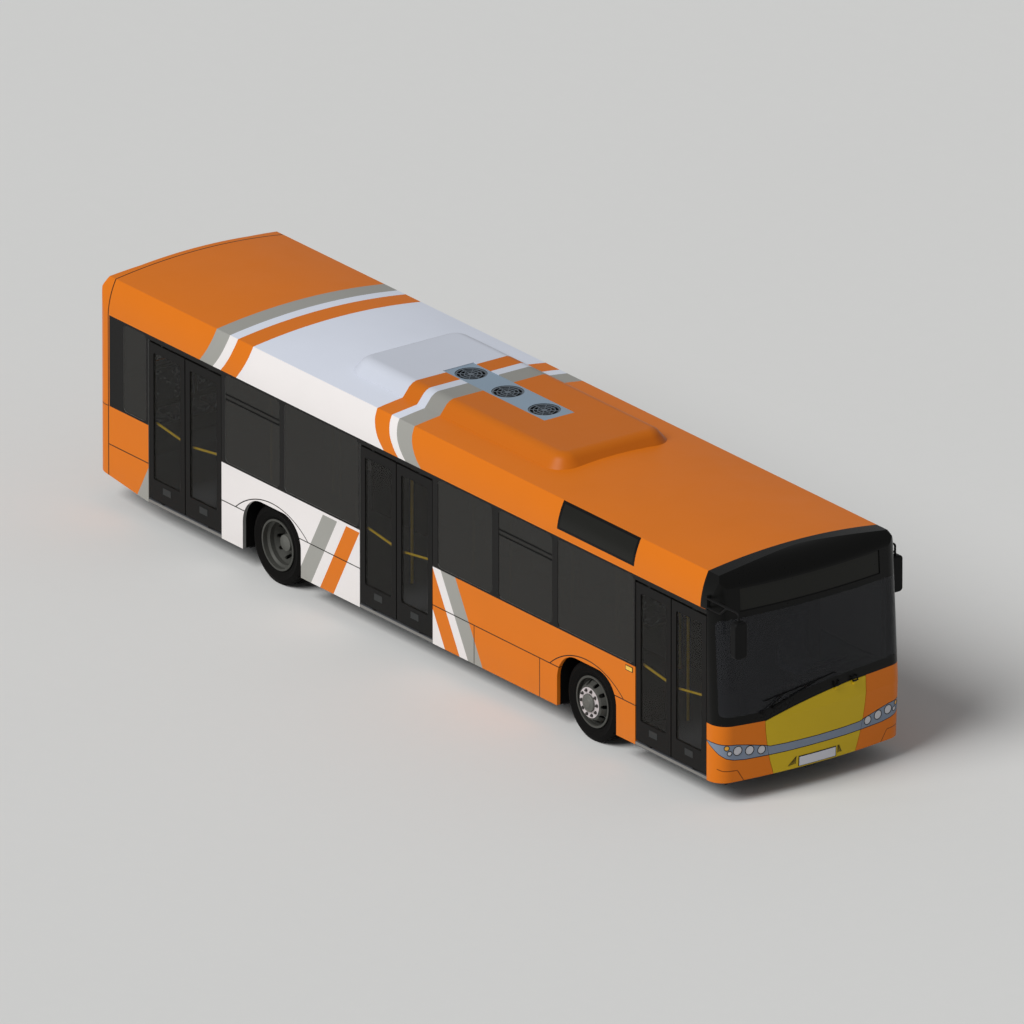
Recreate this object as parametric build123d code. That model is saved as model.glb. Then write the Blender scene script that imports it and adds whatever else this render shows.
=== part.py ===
from build123d import *
import os

# Low-floor airport passenger bus, right-hand doors. Millimetres.
# +X forward, +Y to the bus's left, +Z up. Origin: ground level, middle of the length and width.

# ---------------------------------------------------------------- driving sizes
FRONT_AXLE_X = 3150
WHEELBASE = 5900
REAR_AXLE_X = FRONT_AXLE_X - WHEELBASE

HALF_W = 1275            # side plane
WALL = 45                # whole thickness of a side, front or rear panel
SKIRT_Z = 266            # lower edge of the side skirt
CANT_Z = 2290            # top of the flat side, start of the curved cant panel
CREASE_Y, CREASE_Z = 1165, 2690
CANT_CREASE = 5          # middle of the cant arc inside a tangent one
CROWN_Z = 2775           # top of the roof on the centre line
ROOF_T = 70              # roof thickness with its lining

NOSE_X, NOSE_Z = 5715, 935       # foremost line of the front face, on the centre line
FRONT_FOOT_X = 5680              # front face at the skirt
FRONT_BOW = 75                   # run back of the bowed front face where the corners start
FOOT_LEAN = (NOSE_X - FRONT_FOOT_X) / (NOSE_Z - SKIRT_Z)
BROW_TURN = 24                   # degrees that the brow's curve is carried round the bow
SCREEN_RAKE = 80 / 1265          # run back per unit of height above the nose
FRONT_R, REAR_R = 200, 170       # corner radii in plan
REAR_X = REAR_AXLE_X - 3330
TOP_Z = 3000                     # construction height, above the roof
TAIL_RISE = ((REAR_X + 950, SKIRT_Z), (REAR_X - 50, 386))
BROW = ((5618, 2470), (5531, 2694), (5315, 2776))      # curve from screen to roof, on the centre line
TAIL_TOP = ((REAR_X, 2250), (REAR_X + 28, 2520), (REAR_X + 150, 2740))

REAR_SEAM_X = REAR_X + 230              # side panels end, rear corners begin
FRONT_SEAM_X = 5345              # side panels end, front corners begin
MASK_X = 5250                    # roof ends, front mask begins above the cant line

# wheels
TYRE_R, TYRE_W = 465, 275
WHEEL_Z = TYRE_R
TRACK_Y = HALF_W - 197           # centre plane of the outer tyres
TWIN_GAP = 315                   # between the centre planes of twin tyres
RIM_R = 286                      # bead seat
RIM_OFFSET = 157                 # mounting face from the rim's centre plane
KINGPIN_Y = TRACK_Y - 78
SPINDLE_R = 45
REAR_SPINDLE_R = 60
RUN = 0.05                       # radial running clearance

# wheel arches
ARCH_HALF = 550
ARCH_TOP_Z = 937
ARCH_R = 350
BOX_T = 20
BOX_HALF = ARCH_HALF + 10
BOX_TOP_Z = 960
BOX_INNER_Y = TRACK_Y - 518

# floor
FLOOR_Z0, FLOOR_Z1 = 262, 304
ENGINE_WALL_X = REAR_X + 900
ENGINE_DECK_Z = 760
BULKHEAD_X = 5470

# doorways: centre of the opening and its width; both leaves of a pair are alike
DOOR_TABLE = (("rear", REAR_AXLE_X - 1645, 1390), ("middle", -405, 1370), ("front", 4710, 1320))
DOOR_TOP_Z = 2232
LEAF_Z0, LEAF_Z1 = 328, 2205
LEAF_T = 36
LEAF_MID_Y = HALF_W - 21         # leaf mid-plane, each side of the bus's centre plane
LEAF_GAP = 12                    # leaf to door frame
LEAF_MEET = 16                   # between the two leaves
LEAF_STILE = 84
LEAF_GLASS_Z = (570, 2095)
RAIL_Z, RAIL_R, RAIL_OFF = (1217, 1140), 14, 38      # handrail inside each leaf: jamb and middle height
POST_R = 22
POST_Y = LEAF_MID_Y - 60
POST_TO_JAMB = 25                # post axis to the leaf's edge
ARM_REACH = 275                  # post axis to the leaf pivot, along the leaf
ARM_W = 40
PIVOT_R = 8
POST_PIN_R = 12
ARM_Z = ((308, 320), (2211, 2223))
HEADER = ((HALF_W - 225, HALF_W - WALL), (2242, 2400))     # y and z of the door gear housings

# side windows, each from and to in X
RIGHT_WINDOWS = ((REAR_X + 520, REAR_X + 950), (REAR_AXLE_X - 880, REAR_AXLE_X + 150),
                 (REAR_AXLE_X + 240, -1110), (375, 1390), (1510, 2510), (2610, 4025))
LEFT_PILLAR, LEFT_LAST = 90, (3200, 3960)
LEFT_PITCH = (LEFT_LAST[0] - REAR_X - 520) / 6
LEFT_WINDOWS = tuple((REAR_X + 520 + i * LEFT_PITCH, REAR_X + 520 + (i + 1) * LEFT_PITCH - LEFT_PILLAR)
                     for i in range(6)) + (LEFT_LAST,)
DRIVER_WINDOW = (4050, 5250)
GLASS_Z = (1215, 2262)
GLASS_T = 9
GLASS_INSET = 4                  # pane behind the outer face
DRIVER_SILL_Z = 1060

# front
# y and z of the black mask's lower edge, the middle three an arc
MASK_EDGE = ((-1300, 950), (-690, 933), (-240, 1042), (500, 1140), (1300, 1150))
FLAP_HINGE = (NOSE_X + 6, 1140)
FLAP_HALF = ((706, 1160), (700, 930), (660, 610), (625, 450), (550, 200))   # half width by height
SEAM = 6                         # gap round a moving panel
FLAP_HINGE_Y = ((250, 290), (500, 540))        # hinge barrels, from and to in Y
LID_HINGE_Y = ((-470, -430), (430, 470))
HINGE_R, HINGE_PIN_R, HINGE_FOOT = 8, 4, 42
SCREEN_Y = HALF_W - 35
SCREEN_TOP_Z = 2185
SCREEN_EDGE = ((-SCREEN_Y, 1050), (-770, 1046), (-240, 1170), (450, 1252), (SCREEN_Y, 1262))
SCREEN_R = 60
DISPLAY_Y, DISPLAY_Z = 970, (2255, 2530)
# lamps: distance from the centre plane, height, radius
HEADLAMPS = ((1041, 639, 50), (888, 616, 50), (735, 592, 46), (1139, 622, 23), (1169, 687, 25))
REAR_LAMPS = ((960, 560, 48), (960, 680, 48), (960, 800, 48))
LAMP_GAP = 2
# windscreen wiper: blade ends, then each arm from its pivot to the blade, as y and z
BLADE = ((-721, 1167), (-231, 1232), (260, 1290))
WIPER_ARMS = (((-744, 1037), (-456, 1201)), ((-594, 1072), (0, 1259)))
WIPER_LIFT = 9                   # blade's middle off the glass

# rear
LID_Z = (420, 1100)
LID_HINGE = (REAR_X - 14, 1100)
LID_HALF = 820
REAR_GLASS_HALF = 930
REAR_GLASS_Z = (1480, 2240)

# roof pod
POD_X = (-2060, 2078)            # at its foot, inside the roof
POD_HALF_Y = 860
POD_R = 330
POD_FOOT_Z = 2680
POD_TOP_Z = 2895
POD_TAPER = 39.4
POD_EDGE_R = 170
FAN_X = (-720, -32, 650)
FAN_R = 185
GRILLE_Z = POD_TOP_Z - 22
# outer and inner radius of each ring, then the hub
GRILLE_RINGS = ((183, 162), (128, 118), (82, 72), (0, 34))
STRIP = (-960, 940, 215)         # fan strip: from x, to x, half width


def out(shape, name):
    """Write one node."""
    export_step(shape, "parts/" + name + ".step")


def block(x0, x1, y0, y1, z0, z1):
    """Box by its limits."""
    return Pos((x0 + x1) / 2, (y0 + y1) / 2, (z0 + z1) / 2) * Box(abs(x1 - x0), abs(y1 - y0), abs(z1 - z0))


def rod(x, y, z0, z1, r):
    """Upright cylinder."""
    return Pos(x, y, (z0 + z1) / 2) * Cylinder(r, z1 - z0)


def across(x, z, y0, y1, r):
    """Cylinder along Y."""
    return Pos(x, (y0 + y1) / 2, z) * Rot(90, 0, 0) * Cylinder(r, abs(y1 - y0))


def hinge_half(axis, barrels, surface_x, up):
    """Barrels or lugs on one side of an outside hinge. up 1 gives the fixed lugs and pins above the axis,
    up -1 the moving barrels below it."""
    ax, az = axis
    d = 1 if ax > surface_x else -1
    parts = None
    for y0, y1 in barrels:
        spans = ((y0 - 18, y0 - SEAM), (y1 + SEAM, y1 + 18)) if up > 0 else ((y0, y1),)
        for a, b in spans:
            piece = across(ax, az, a, b, HINGE_R)
            piece += block(ax - d * 10, ax, a, b, az, az + up * 50)
            piece += block(surface_x - d * HINGE_FOOT, ax, a, b, az + up * 34, az + up * 50)
            parts = piece if parts is None else parts + piece
        if up > 0:
            parts += across(ax, az, y0 - 16, y1 + 16, HINGE_PIN_R)
    if up < 0:
        parts -= across(ax, az, barrels[0][0] - 30, barrels[-1][1] + 30, HINGE_PIN_R + RUN)
    return parts


def section(half_w, cant_z, crease, crown_z, base_z):
    """Cross-section of the body in the YZ plane. The cant arc leaves the side plane at a slight crease."""
    cy, cz = crease
    dy, dz = half_w - cy, cz - cant_z
    radius = (dy * dy + dz * dz) / (2 * dy)
    bz = cant_z + dz / 2
    by = half_w - radius + (radius * radius - dz * dz / 4) ** 0.5 - CANT_CREASE
    edges = [
        ThreePointArc((0 - cy, cz), (0, crown_z), (cy, cz)),
        ThreePointArc((cy, cz), (by, bz), (half_w, cant_z)),
        Line((half_w, cant_z), (half_w, base_z)),
        Line((half_w, base_z), (-half_w, base_z)),
        Line((-half_w, base_z), (-half_w, cant_z)),
        ThreePointArc((-half_w, cant_z), (-by, bz), (-cy, cz)),
    ]
    return Plane.YZ * make_face(edges)


# radius of the bowed front in plan
BOW_R = ((HALF_W - FRONT_R) ** 2 + FRONT_BOW ** 2) / (2 * FRONT_BOW)


def bow(y, radius=BOW_R):
    """Run back of the bowed front face at a distance from the centre plane."""
    return radius - (radius * radius - y * y) ** 0.5


def front_x(y, z):
    """X of the front face between the corners."""
    lean = SCREEN_RAKE * (z - NOSE_Z) if z > NOSE_Z else FOOT_LEAN * (NOSE_Z - z)
    return NOSE_X - lean - bow(y)


def plan(nose_x, half_w, corner_r, bow_r):
    """Plan outline of the front half of the body, in the XY plane."""
    back_x = REAR_X - 900
    side_x = nose_x - bow(half_w, bow_r)
    edges = [
        Line((back_x, -half_w), (side_x, -half_w)),
        ThreePointArc((side_x, -half_w), (nose_x, 0), (side_x, half_w)),
        Line((side_x, half_w), (back_x, half_w)),
        Line((back_x, half_w), (back_x, -half_w)),
    ]
    face = make_face(edges)
    return fillet(face.vertices().group_by(Axis.X)[-1], corner_r)


def leaning(face, z0, z1, lean):
    """Extrude a plan outline from z0 to z1, leaning along X by lean per unit of height."""
    long = (1 + lean * lean) ** 0.5
    return extrude(Pos(0, 0, z0) * face, amount=(z1 - z0) * long, dir=(lean, 0, 1))


def body_block(inset, roof_inset, base_z):
    """The whole body as one solid; with insets, the space inside it."""
    half_w = HALF_W - inset
    crease = (CREASE_Y - inset, CREASE_Z - roof_inset)
    face = section(half_w, CANT_Z - inset / 2, crease, CROWN_Z - roof_inset, base_z)
    body = extrude(Pos(REAR_X - 500, 0, 0) * face, amount=NOSE_X - REAR_X + 1000, dir=(1, 0, 0))
    foot_x = FRONT_FOOT_X - inset - FOOT_LEAN * (SKIRT_Z - base_z)
    corner_r, bow_r = FRONT_R - inset, BOW_R - inset
    low = leaning(plan(foot_x, half_w, corner_r, bow_r), base_z, NOSE_Z, FOOT_LEAN)
    high = leaning(plan(NOSE_X - inset, half_w, corner_r, bow_r), NOSE_Z, TOP_Z, -SCREEN_RAKE)
    body = (body & (low + high)) - brow_space(inset, bow_r)
    return body & side_profile(inset, base_z) & rear_plan(inset, half_w, base_z)


def brow_space(inset, bow_r):
    """Space over the brow that curves from the windscreen to the roof, following the bow."""
    (x0, z0), (x1, z1), (x2, z2) = [(x - inset, z - inset * 0.6) for x, z in BROW]
    edges = [
        ThreePointArc((x0, z0), (x1, z1), (x2, z2)),
        Line((x2, z2), (x2, TOP_Z + 10)),
        Line((x2, TOP_Z + 10), (NOSE_X + 300, TOP_Z + 10)),
        Line((NOSE_X + 300, TOP_Z + 10), (NOSE_X + 300, z0)),
        Line((NOSE_X + 300, z0), (x0, z0)),
    ]
    centre_x = x0 - bow_r
    axis = Axis((centre_x, 0, 0), (0, 0, 1))
    turned = revolve(Plane.XZ * make_face(edges), axis=axis, revolution_arc=BROW_TURN)
    return Pos(centre_x, 0, 0) * Rot(0, 0, -BROW_TURN / 2) * Pos(-centre_x, 0, 0) * turned


def side_profile(inset, base_z):
    """Side view outline: tail lines and the rising tail, extruded across."""
    d = inset
    (t0x, t0z), (t1x, t1z), (t2x, t2z) = [(x + d, z - d * 0.6) for x, z in TAIL_TOP]
    (r0x, r0z), (r1x, r1z) = TAIL_RISE
    if inset:
        r0z = r1z = base_z
    far_x = NOSE_X + 400
    edges = [
        Line((far_x, base_z), (far_x, TOP_Z)),
        Line((far_x, TOP_Z), (t2x, TOP_Z)),
        Line((t2x, TOP_Z), (t2x, t2z)),
        ThreePointArc((t2x, t2z), (t1x, t1z), (t0x, t0z)),
        Line((t0x, t0z), (r1x, t0z)),
        Line((r1x, t0z), (r1x, r1z)),
        Line((r1x, r1z), (r0x, r0z)),
        Line((r0x, r0z), (far_x, base_z)),
    ]
    return extrude(Plane.XZ * make_face(edges), amount=HALF_W + 50, both=True)


def rear_plan(inset, half_w, base_z):
    """Rear corners in plan, extruded the full height: rounded outside, cut straight inside."""
    r = REAR_R - inset
    x = REAR_X + inset
    f = r * (1 - 0.5 ** 0.5)
    if inset:
        r = 2 * f
    far_x = NOSE_X + 400
    corner = (Line if inset else ThreePointArc)
    mid = [] if inset else [(x + f, half_w - f)]
    low = [(y, -z) for y, z in mid]
    edges = [
        Line((far_x, half_w), (x + r, half_w)),
        corner((x + r, half_w), *mid, (x, half_w - r)),
        Line((x, half_w - r), (x, -half_w + r)),
        corner((x, -half_w + r), *low, (x + r, -half_w)),
        Line((x + r, -half_w), (far_x, -half_w)),
        Line((far_x, -half_w), (far_x, half_w)),
    ]
    return extrude(Pos(0, 0, base_z - 50) * make_face(edges), amount=TOP_Z - base_z + 100, dir=(0, 0, 1))


OUTER = body_block(0, 0, SKIRT_Z)
INNER = body_block(WALL, ROOF_T, FLOOR_Z0 - 40)
SHELL = OUTER - INNER
SKIN = OUTER - body_block(GLASS_T, GLASS_T, FLOOR_Z0 - 40)      # outermost layer, as thick as the panes


def arch_cut(axle_x, sign):
    """Wheel arch opening through a side panel."""
    a, r, t = ARCH_HALF, ARCH_R, ARCH_TOP_Z
    f = r * (1 - 0.5 ** 0.5)
    edges = [
        Line((-a, 0), (-a, t - r)),
        ThreePointArc((-a, t - r), (-a + f, t - f), (-a + r, t)),
        Line((-a + r, t), (a - r, t)),
        ThreePointArc((a - r, t), (a - f, t - f), (a, t - r)),
        Line((a, t - r), (a, 0)),
        Line((a, 0), (-a, 0)),
    ]
    face = Pos(axle_x, sign * (HALF_W - WALL / 2), 0) * (Plane.XZ * make_face(edges))
    return extrude(face, amount=WALL, both=True)


def side_wall(sign, windows):
    """One side of the body from the rear seam to the front seam."""
    inner_y, outer_y = sign * (HALF_W - WALL), sign * (HALF_W + 5)
    wall = OUTER & block(REAR_SEAM_X, FRONT_SEAM_X, inner_y, outer_y, SKIRT_Z, CANT_Z)
    for axle_x in (FRONT_AXLE_X, REAR_AXLE_X):
        wall -= arch_cut(axle_x, sign)
    for x0, x1 in windows:
        wall -= window_space(x0, x1, sign, *GLASS_Z)
    if sign < 0:
        wall -= doorway_space()
    else:
        wall -= window_space(*DRIVER_WINDOW, sign, DRIVER_SILL_Z, GLASS_Z[1])
    return wall


def doorway_space():
    """The three doorways through the right-hand side."""
    spaces = [block(x - width / 2, x + width / 2, -HALF_W - 9, -HALF_W + WALL + 9, 0, DOOR_TOP_Z)
              for _, x, width in DOOR_TABLE]
    return spaces[0] + spaces[1] + spaces[2]


def window_space(x0, x1, sign, z0, z1):
    """Rounded opening for one side window."""
    face = RectangleRounded(x1 - x0, z1 - z0, 60)
    face = Pos((x0 + x1) / 2, sign * (HALF_W - WALL / 2), (z0 + z1) / 2) * (Plane.XZ * face)
    return extrude(face, amount=WALL, both=True)


def side_glass():
    """Every fixed pane of both sides and of the rear, as separate solids."""
    panes = []
    for sign, windows in ((-1, RIGHT_WINDOWS), (1, LEFT_WINDOWS)):
        y1 = sign * (HALF_W - GLASS_INSET)
        slab = block(REAR_X, NOSE_X, y1, y1 - sign * GLASS_T, 0, TOP_Z)
        panes += [slab & window_space(x0, x1, sign, *GLASS_Z) for x0, x1 in windows]
        if sign > 0:
            panes.append(slab & window_space(*DRIVER_WINDOW, sign, DRIVER_SILL_Z, GLASS_Z[1]))
    rear = block(REAR_X + GLASS_INSET, REAR_X + GLASS_INSET + GLASS_T, -HALF_W, HALF_W, 0, TOP_Z)
    panes.append(rear & rear_window_space())
    return Compound(children=[p.solids()[0] for p in panes])


def rear_window_space():
    """Opening for the rear window."""
    z0, z1 = REAR_GLASS_Z
    face = Plane.YZ * RectangleRounded(2 * REAR_GLASS_HALF, z1 - z0, 90)
    return extrude(Pos(REAR_X, 0, (z0 + z1) / 2) * face, amount=WALL * 3, both=True)


def roof_shell():
    """Roof with both curved cant panels and its lining."""
    return SHELL & block(REAR_SEAM_X, MASK_X, -HALF_W - 5, HALF_W + 5, CANT_Z, TOP_Z)


def lamp_spaces(table, x, grow):
    """Round spaces through the skin for the lamps of one end."""
    return [Pos(x, sign * y, z) * Rot(0, 90, 0) * Cylinder(r + grow, 500)
            for y, z, r in table for sign in (-1, 1)]


def lamps():
    """Every lamp's lens, flush with the panel that it sits in."""
    spaces = lamp_spaces(HEADLAMPS, NOSE_X, 0) + lamp_spaces(REAR_LAMPS, REAR_X, 0)
    return Compound(children=[(SKIN & s).solids()[0] for s in spaces])


def rear_wall():
    """Rear end with its corners, without lid and window."""
    wall = SHELL & block(REAR_X - 50, REAR_SEAM_X, -HALF_W - 5, HALF_W + 5, 0, TOP_Z)
    for space in lamp_spaces(REAR_LAMPS, REAR_X, LAMP_GAP):
        wall -= SKIN & space
    return wall - rear_window_space() - lid_space(0) + hinge_half(LID_HINGE, LID_HINGE_Y, REAR_X, 1)


def lid_space(shrink):
    """Space for the engine lid in the rear wall, or the lid's own outline."""
    z0, z1 = LID_Z
    half = LID_HALF - shrink
    return block(REAR_X - 60, REAR_X + WALL + 60, -half, half, z0 + shrink, z1 - shrink)


def engine_lid():
    """Rear lid, as thick as the wall."""
    return (SHELL & lid_space(SEAM)) + hinge_half(LID_HINGE, LID_HINGE_Y, REAR_X, -1)


def front_region():
    """Everything of the body shell ahead of the side panels and the roof."""
    low = block(FRONT_SEAM_X, NOSE_X + 90, -HALF_W - 5, HALF_W + 5, 0, CANT_Z)
    high = block(MASK_X, NOSE_X + 90, -HALF_W - 5, HALF_W + 5, CANT_Z, TOP_Z)
    return (SHELL & (low + high)) - doorway_space()


def below_mask(lower):
    """Space under the curved lower edge of the front mask."""
    p = [(y, z - lower) for y, z in MASK_EDGE]
    base = -200
    edges = [
        Line(p[0], p[1]),
        ThreePointArc(p[1], p[2], p[3]),
        Line(p[3], p[4]),
        Line(p[4], (p[4][0], base)),
        Line((p[4][0], base), (p[0][0], base)),
        Line((p[0][0], base), p[0]),
    ]
    face = Plane.YZ * make_face(edges)
    return extrude(Pos(MASK_X - 50, 0, 0) * face, amount=NOSE_X - MASK_X + 200, dir=(1, 0, 0))


def flap_outline(shrink):
    """Outline of the front flap seen from ahead, extruded along X."""
    half = [(y - shrink, z) for y, z in FLAP_HALF]
    right = [(-y, z) for y, z in half]
    edges = [
        Line(right[0], half[0]),
        Line(half[0], half[1]),
        ThreePointArc(half[1], half[2], half[3]),
        Line(half[3], half[4]),
        Line(half[4], right[4]),
        Line(right[4], right[3]),
        ThreePointArc(right[3], right[2], right[1]),
        Line(right[1], right[0]),
    ]
    face = Plane.YZ * make_face(edges)
    return extrude(Pos(NOSE_X - 300, 0, 0) * face, amount=500, dir=(1, 0, 0))


def screen_space():
    """Opening for the windscreen, seen from ahead, carried round the corners."""
    p = SCREEN_EDGE
    edges = [
        Line(p[0], p[1]),
        ThreePointArc(p[1], p[2], p[3]),
        Line(p[3], p[4]),
        Line(p[4], (SCREEN_Y, SCREEN_TOP_Z)),
        Line((SCREEN_Y, SCREEN_TOP_Z), (-SCREEN_Y, SCREEN_TOP_Z)),
        Line((-SCREEN_Y, SCREEN_TOP_Z), p[0]),
    ]
    face = make_face(edges)
    face = fillet([v for v in face.vertices() if abs(v.X) > SCREEN_Y - 1], SCREEN_R)
    return extrude(Pos(NOSE_X - 300, 0, 0) * (Plane.YZ * face), amount=500, dir=(1, 0, 0))


def flap_top_x():
    """Front surface at the flap's hinge."""
    return NOSE_X - SCREEN_RAKE * (FLAP_HINGE[1] - NOSE_Z)


def front_mask():
    """Black front surround with brow and destination recess, without the windscreen."""
    mask = front_region() - below_mask(0) - screen_space()
    z0, z1 = DISPLAY_Z
    mask -= SKIN & block(NOSE_X - 300, NOSE_X, -DISPLAY_Y, DISPLAY_Y, z0, z1)
    return mask + hinge_half(FLAP_HINGE, FLAP_HINGE_Y, flap_top_x(), 1)


def windscreen():
    """Curved pane, from the body's own front surface."""
    return SKIN & screen_space() & block(FRONT_SEAM_X - 30, NOSE_X + 50, -HALF_W, HALF_W, 0, TOP_Z)


def front_lower():
    """Front corners with the lamp band and the bumper, either side of the flap."""
    lower = (front_region() & below_mask(0)) - flap_outline(0)
    lower += block(5500, 5545, -900, 900, 312, 380)
    for sign in (-1, 1):
        lower += INNER & block(5500, NOSE_X, sign * 790, sign * 900, 312, 380)
    for space in lamp_spaces(HEADLAMPS, NOSE_X, LAMP_GAP):
        lower -= SKIN & space
    return lower


def front_flap():
    """Centre service flap, hinged along its top."""
    flap = SHELL & below_mask(SEAM) & flap_outline(SEAM)
    return flap + hinge_half(FLAP_HINGE, FLAP_HINGE_Y, flap_top_x(), -1)


def wheel_box_spans():
    """Outer size of each wheel box: axle X, side, from and to in X, inner and outer Y."""
    for axle_x in (FRONT_AXLE_X, REAR_AXLE_X):
        for sign in (-1, 1):
            half = BOX_HALF + BOX_T
            y0, y1 = sign * (BOX_INNER_Y - BOX_T), sign * (HALF_W - WALL)
            yield axle_x, sign, axle_x - half, axle_x + half, y0, y1


def wheel_boxes():
    """Box over each wheel, open below and to the outside."""
    boxes = []
    for axle_x, sign, x0, x1, y0, y1 in wheel_box_spans():
        box = block(x0, x1, y0, y1, FLOOR_Z0, BOX_TOP_Z + BOX_T)
        box -= block(axle_x - BOX_HALF, axle_x + BOX_HALF, y0 + sign * BOX_T, y1 + sign, FLOOR_Z0 - 1, BOX_TOP_Z)
        boxes.append(box.solids()[0])
    return Compound(children=boxes)


def floor_deck():
    """Flat floor of five plates, two of them between the wheel boxes, with the door sills."""
    x0 = ENGINE_WALL_X + BOX_T
    deck = INNER & block(x0, NOSE_X, -HALF_W, HALF_W, FLOOR_Z0, FLOOR_Z1)
    for _, sign, box_x0, box_x1, y0, y1 in wheel_box_spans():
        deck -= block(box_x0, box_x1, y0, y1 + sign, FLOOR_Z0 - 1, FLOOR_Z1 + 1)
    deck -= block(BULKHEAD_X + BOX_T, NOSE_X, -790, 790, FLOOR_Z0 - 1, FLOOR_Z1 + 1)
    for _, x, width in DOOR_TABLE:
        half = width / 2 - 2
        deck += block(x - half, x + half, -HALF_W + 3, -HALF_W + WALL, FLOOR_Z0, FLOOR_Z1)
        for sign in (-1, 1):
            deck -= rod(post_x(x, width, sign), -POST_Y, FLOOR_Z0 + 6, FLOOR_Z1 + 1, POST_PIN_R + RUN)
    half = BOX_HALF + BOX_T
    cuts = (x0, REAR_AXLE_X - half, REAR_AXLE_X + half, FRONT_AXLE_X - half, FRONT_AXLE_X + half, NOSE_X)
    plates = [deck & block(a, b, -HALF_W, HALF_W, FLOOR_Z0 - 1, FLOOR_Z1 + 1) for a, b in zip(cuts, cuts[1:])]
    return Compound(children=[s for plate in plates for s in plate.solids()])


def engine_deck():
    """Raised deck over the engine, with the wall in front of it."""
    x1 = ENGINE_WALL_X + BOX_T
    deck = INNER & block(REAR_X, x1, -HALF_W, HALF_W, ENGINE_DECK_Z - BOX_T, ENGINE_DECK_Z)
    deck += INNER & block(ENGINE_WALL_X, x1, -HALF_W, HALF_W, FLOOR_Z0, ENGINE_DECK_Z)
    cut = LID_HALF + 10
    return deck - block(REAR_X, REAR_X + WALL + 12, -cut, cut, LID_Z[0], LID_Z[1])


def front_bulkhead():
    """Wall across the bus behind the front panel, standing on the floor."""
    return INNER & block(BULKHEAD_X, BULKHEAD_X + BOX_T, -HALF_W, HALF_W, FLOOR_Z1, 930)


def post_x(x, width, sign):
    """X of a door post's axis; sign is -1 for the rear leaf of a pair and 1 for the front one."""
    return x + sign * (width / 2 - LEAF_GAP + POST_TO_JAMB)


def door_post(x, width, sign):
    """Turning post with its lower and upper arm and their pivot pins."""
    px, py = post_x(x, width, sign), -POST_Y
    ax, ay = px - sign * ARM_REACH, -LEAF_MID_Y
    post = rod(px, py, FLOOR_Z1 + 2, ARM_Z[1][1] + 12, POST_R)
    post += rod(px, py, FLOOR_Z1 - 30, FLOOR_Z1 + 4, POST_PIN_R)
    post += rod(px, py, ARM_Z[1][1] + 8, HEADER[1][0] + 40, POST_PIN_R)
    for z0, z1 in ARM_Z:
        reach = ((ax - px) ** 2 + (ay - py) ** 2) ** 0.5
        turn = Vector(ax - px, ay - py, 0).get_signed_angle(Vector(1, 0, 0), Vector(0, 0, -1))
        bar = Pos(reach / 2, 0, 0) * Box(reach, ARM_W * 0.8, z1 - z0)
        bar = Pos(px, py, (z0 + z1) / 2) * Rot(0, 0, turn) * bar
        post += bar + rod(ax, ay, z0, z1, ARM_W * 0.4)
    post += rod(ax, ay, ARM_Z[0][0], LEAF_Z0 + 20, PIVOT_R)
    post += rod(ax, ay, LEAF_Z1 - 20, ARM_Z[1][1], PIVOT_R)
    return post


def leaf_span(x, width, sign):
    """Inner and outer edge of a leaf in X: the jamb edge, then the meeting edge."""
    return x + sign * (width / 2 - LEAF_GAP), x + sign * LEAF_MEET / 2


def leaf_glass_space(x, width, sign):
    """Opening in a leaf for its pane."""
    jamb, free = leaf_span(x, width, sign)
    x0, x1 = sorted((jamb - sign * LEAF_STILE, free + sign * LEAF_STILE))
    z0, z1 = LEAF_GLASS_Z
    face = Plane.XZ * RectangleRounded(x1 - x0, z1 - z0, 25)
    return extrude(Pos((x0 + x1) / 2, -LEAF_MID_Y, (z0 + z1) / 2) * face, amount=LEAF_T, both=True)


def door_leaf(x, width, sign):
    """Door leaf with its window cut and the two pivot bores."""
    jamb, free = leaf_span(x, width, sign)
    leaf = block(jamb, free, -LEAF_MID_Y - LEAF_T / 2, -LEAF_MID_Y + LEAF_T / 2, LEAF_Z0, LEAF_Z1)
    leaf -= leaf_glass_space(x, width, sign)
    ax = post_x(x, width, sign) - sign * ARM_REACH
    leaf -= rod(ax, -LEAF_MID_Y, LEAF_Z0 - 1, LEAF_Z0 + 24, PIVOT_R + RUN)
    leaf -= rod(ax, -LEAF_MID_Y, LEAF_Z1 - 24, LEAF_Z1 + 1, PIVOT_R + RUN)
    inside_y = -LEAF_MID_Y + LEAF_T / 2
    rail_y = inside_y + RAIL_OFF
    ends = ((jamb - sign * LEAF_STILE / 2, RAIL_Z[0]), (free + sign * LEAF_STILE / 2, RAIL_Z[1]))
    for x1, z in ends:
        leaf += across(x1, z, inside_y - 2, rail_y, RAIL_R)
    (xa, za), (xb, zb) = ends
    return leaf + tube(((xa, rail_y, za), (xb, rail_y, zb)), RAIL_R, 0)


def leaf_glass(x, width, sign):
    """Pane of a leaf."""
    y = -LEAF_MID_Y - 4
    return leaf_glass_space(x, width, sign) & block(REAR_X, NOSE_X, y - 4, y + 4, 0, TOP_Z)


def door_headers():
    """Housings of the door gear over each doorway, bored for the posts."""
    (y0, y1), (z0, z1) = HEADER
    parts = []
    for _, x, width in DOOR_TABLE:
        half = width / 2 + 70
        x1 = min(x + half, FRONT_SEAM_X + 50)
        box = block(x - half, x1, -y1, -y0, z0, z1) & INNER
        for sign in (-1, 1):
            box -= rod(post_x(x, width, sign), -POST_Y, z0 - 1, z0 + 46, POST_PIN_R + RUN)
        parts.append(box.solids()[0])
    return Compound(children=parts)


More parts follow.
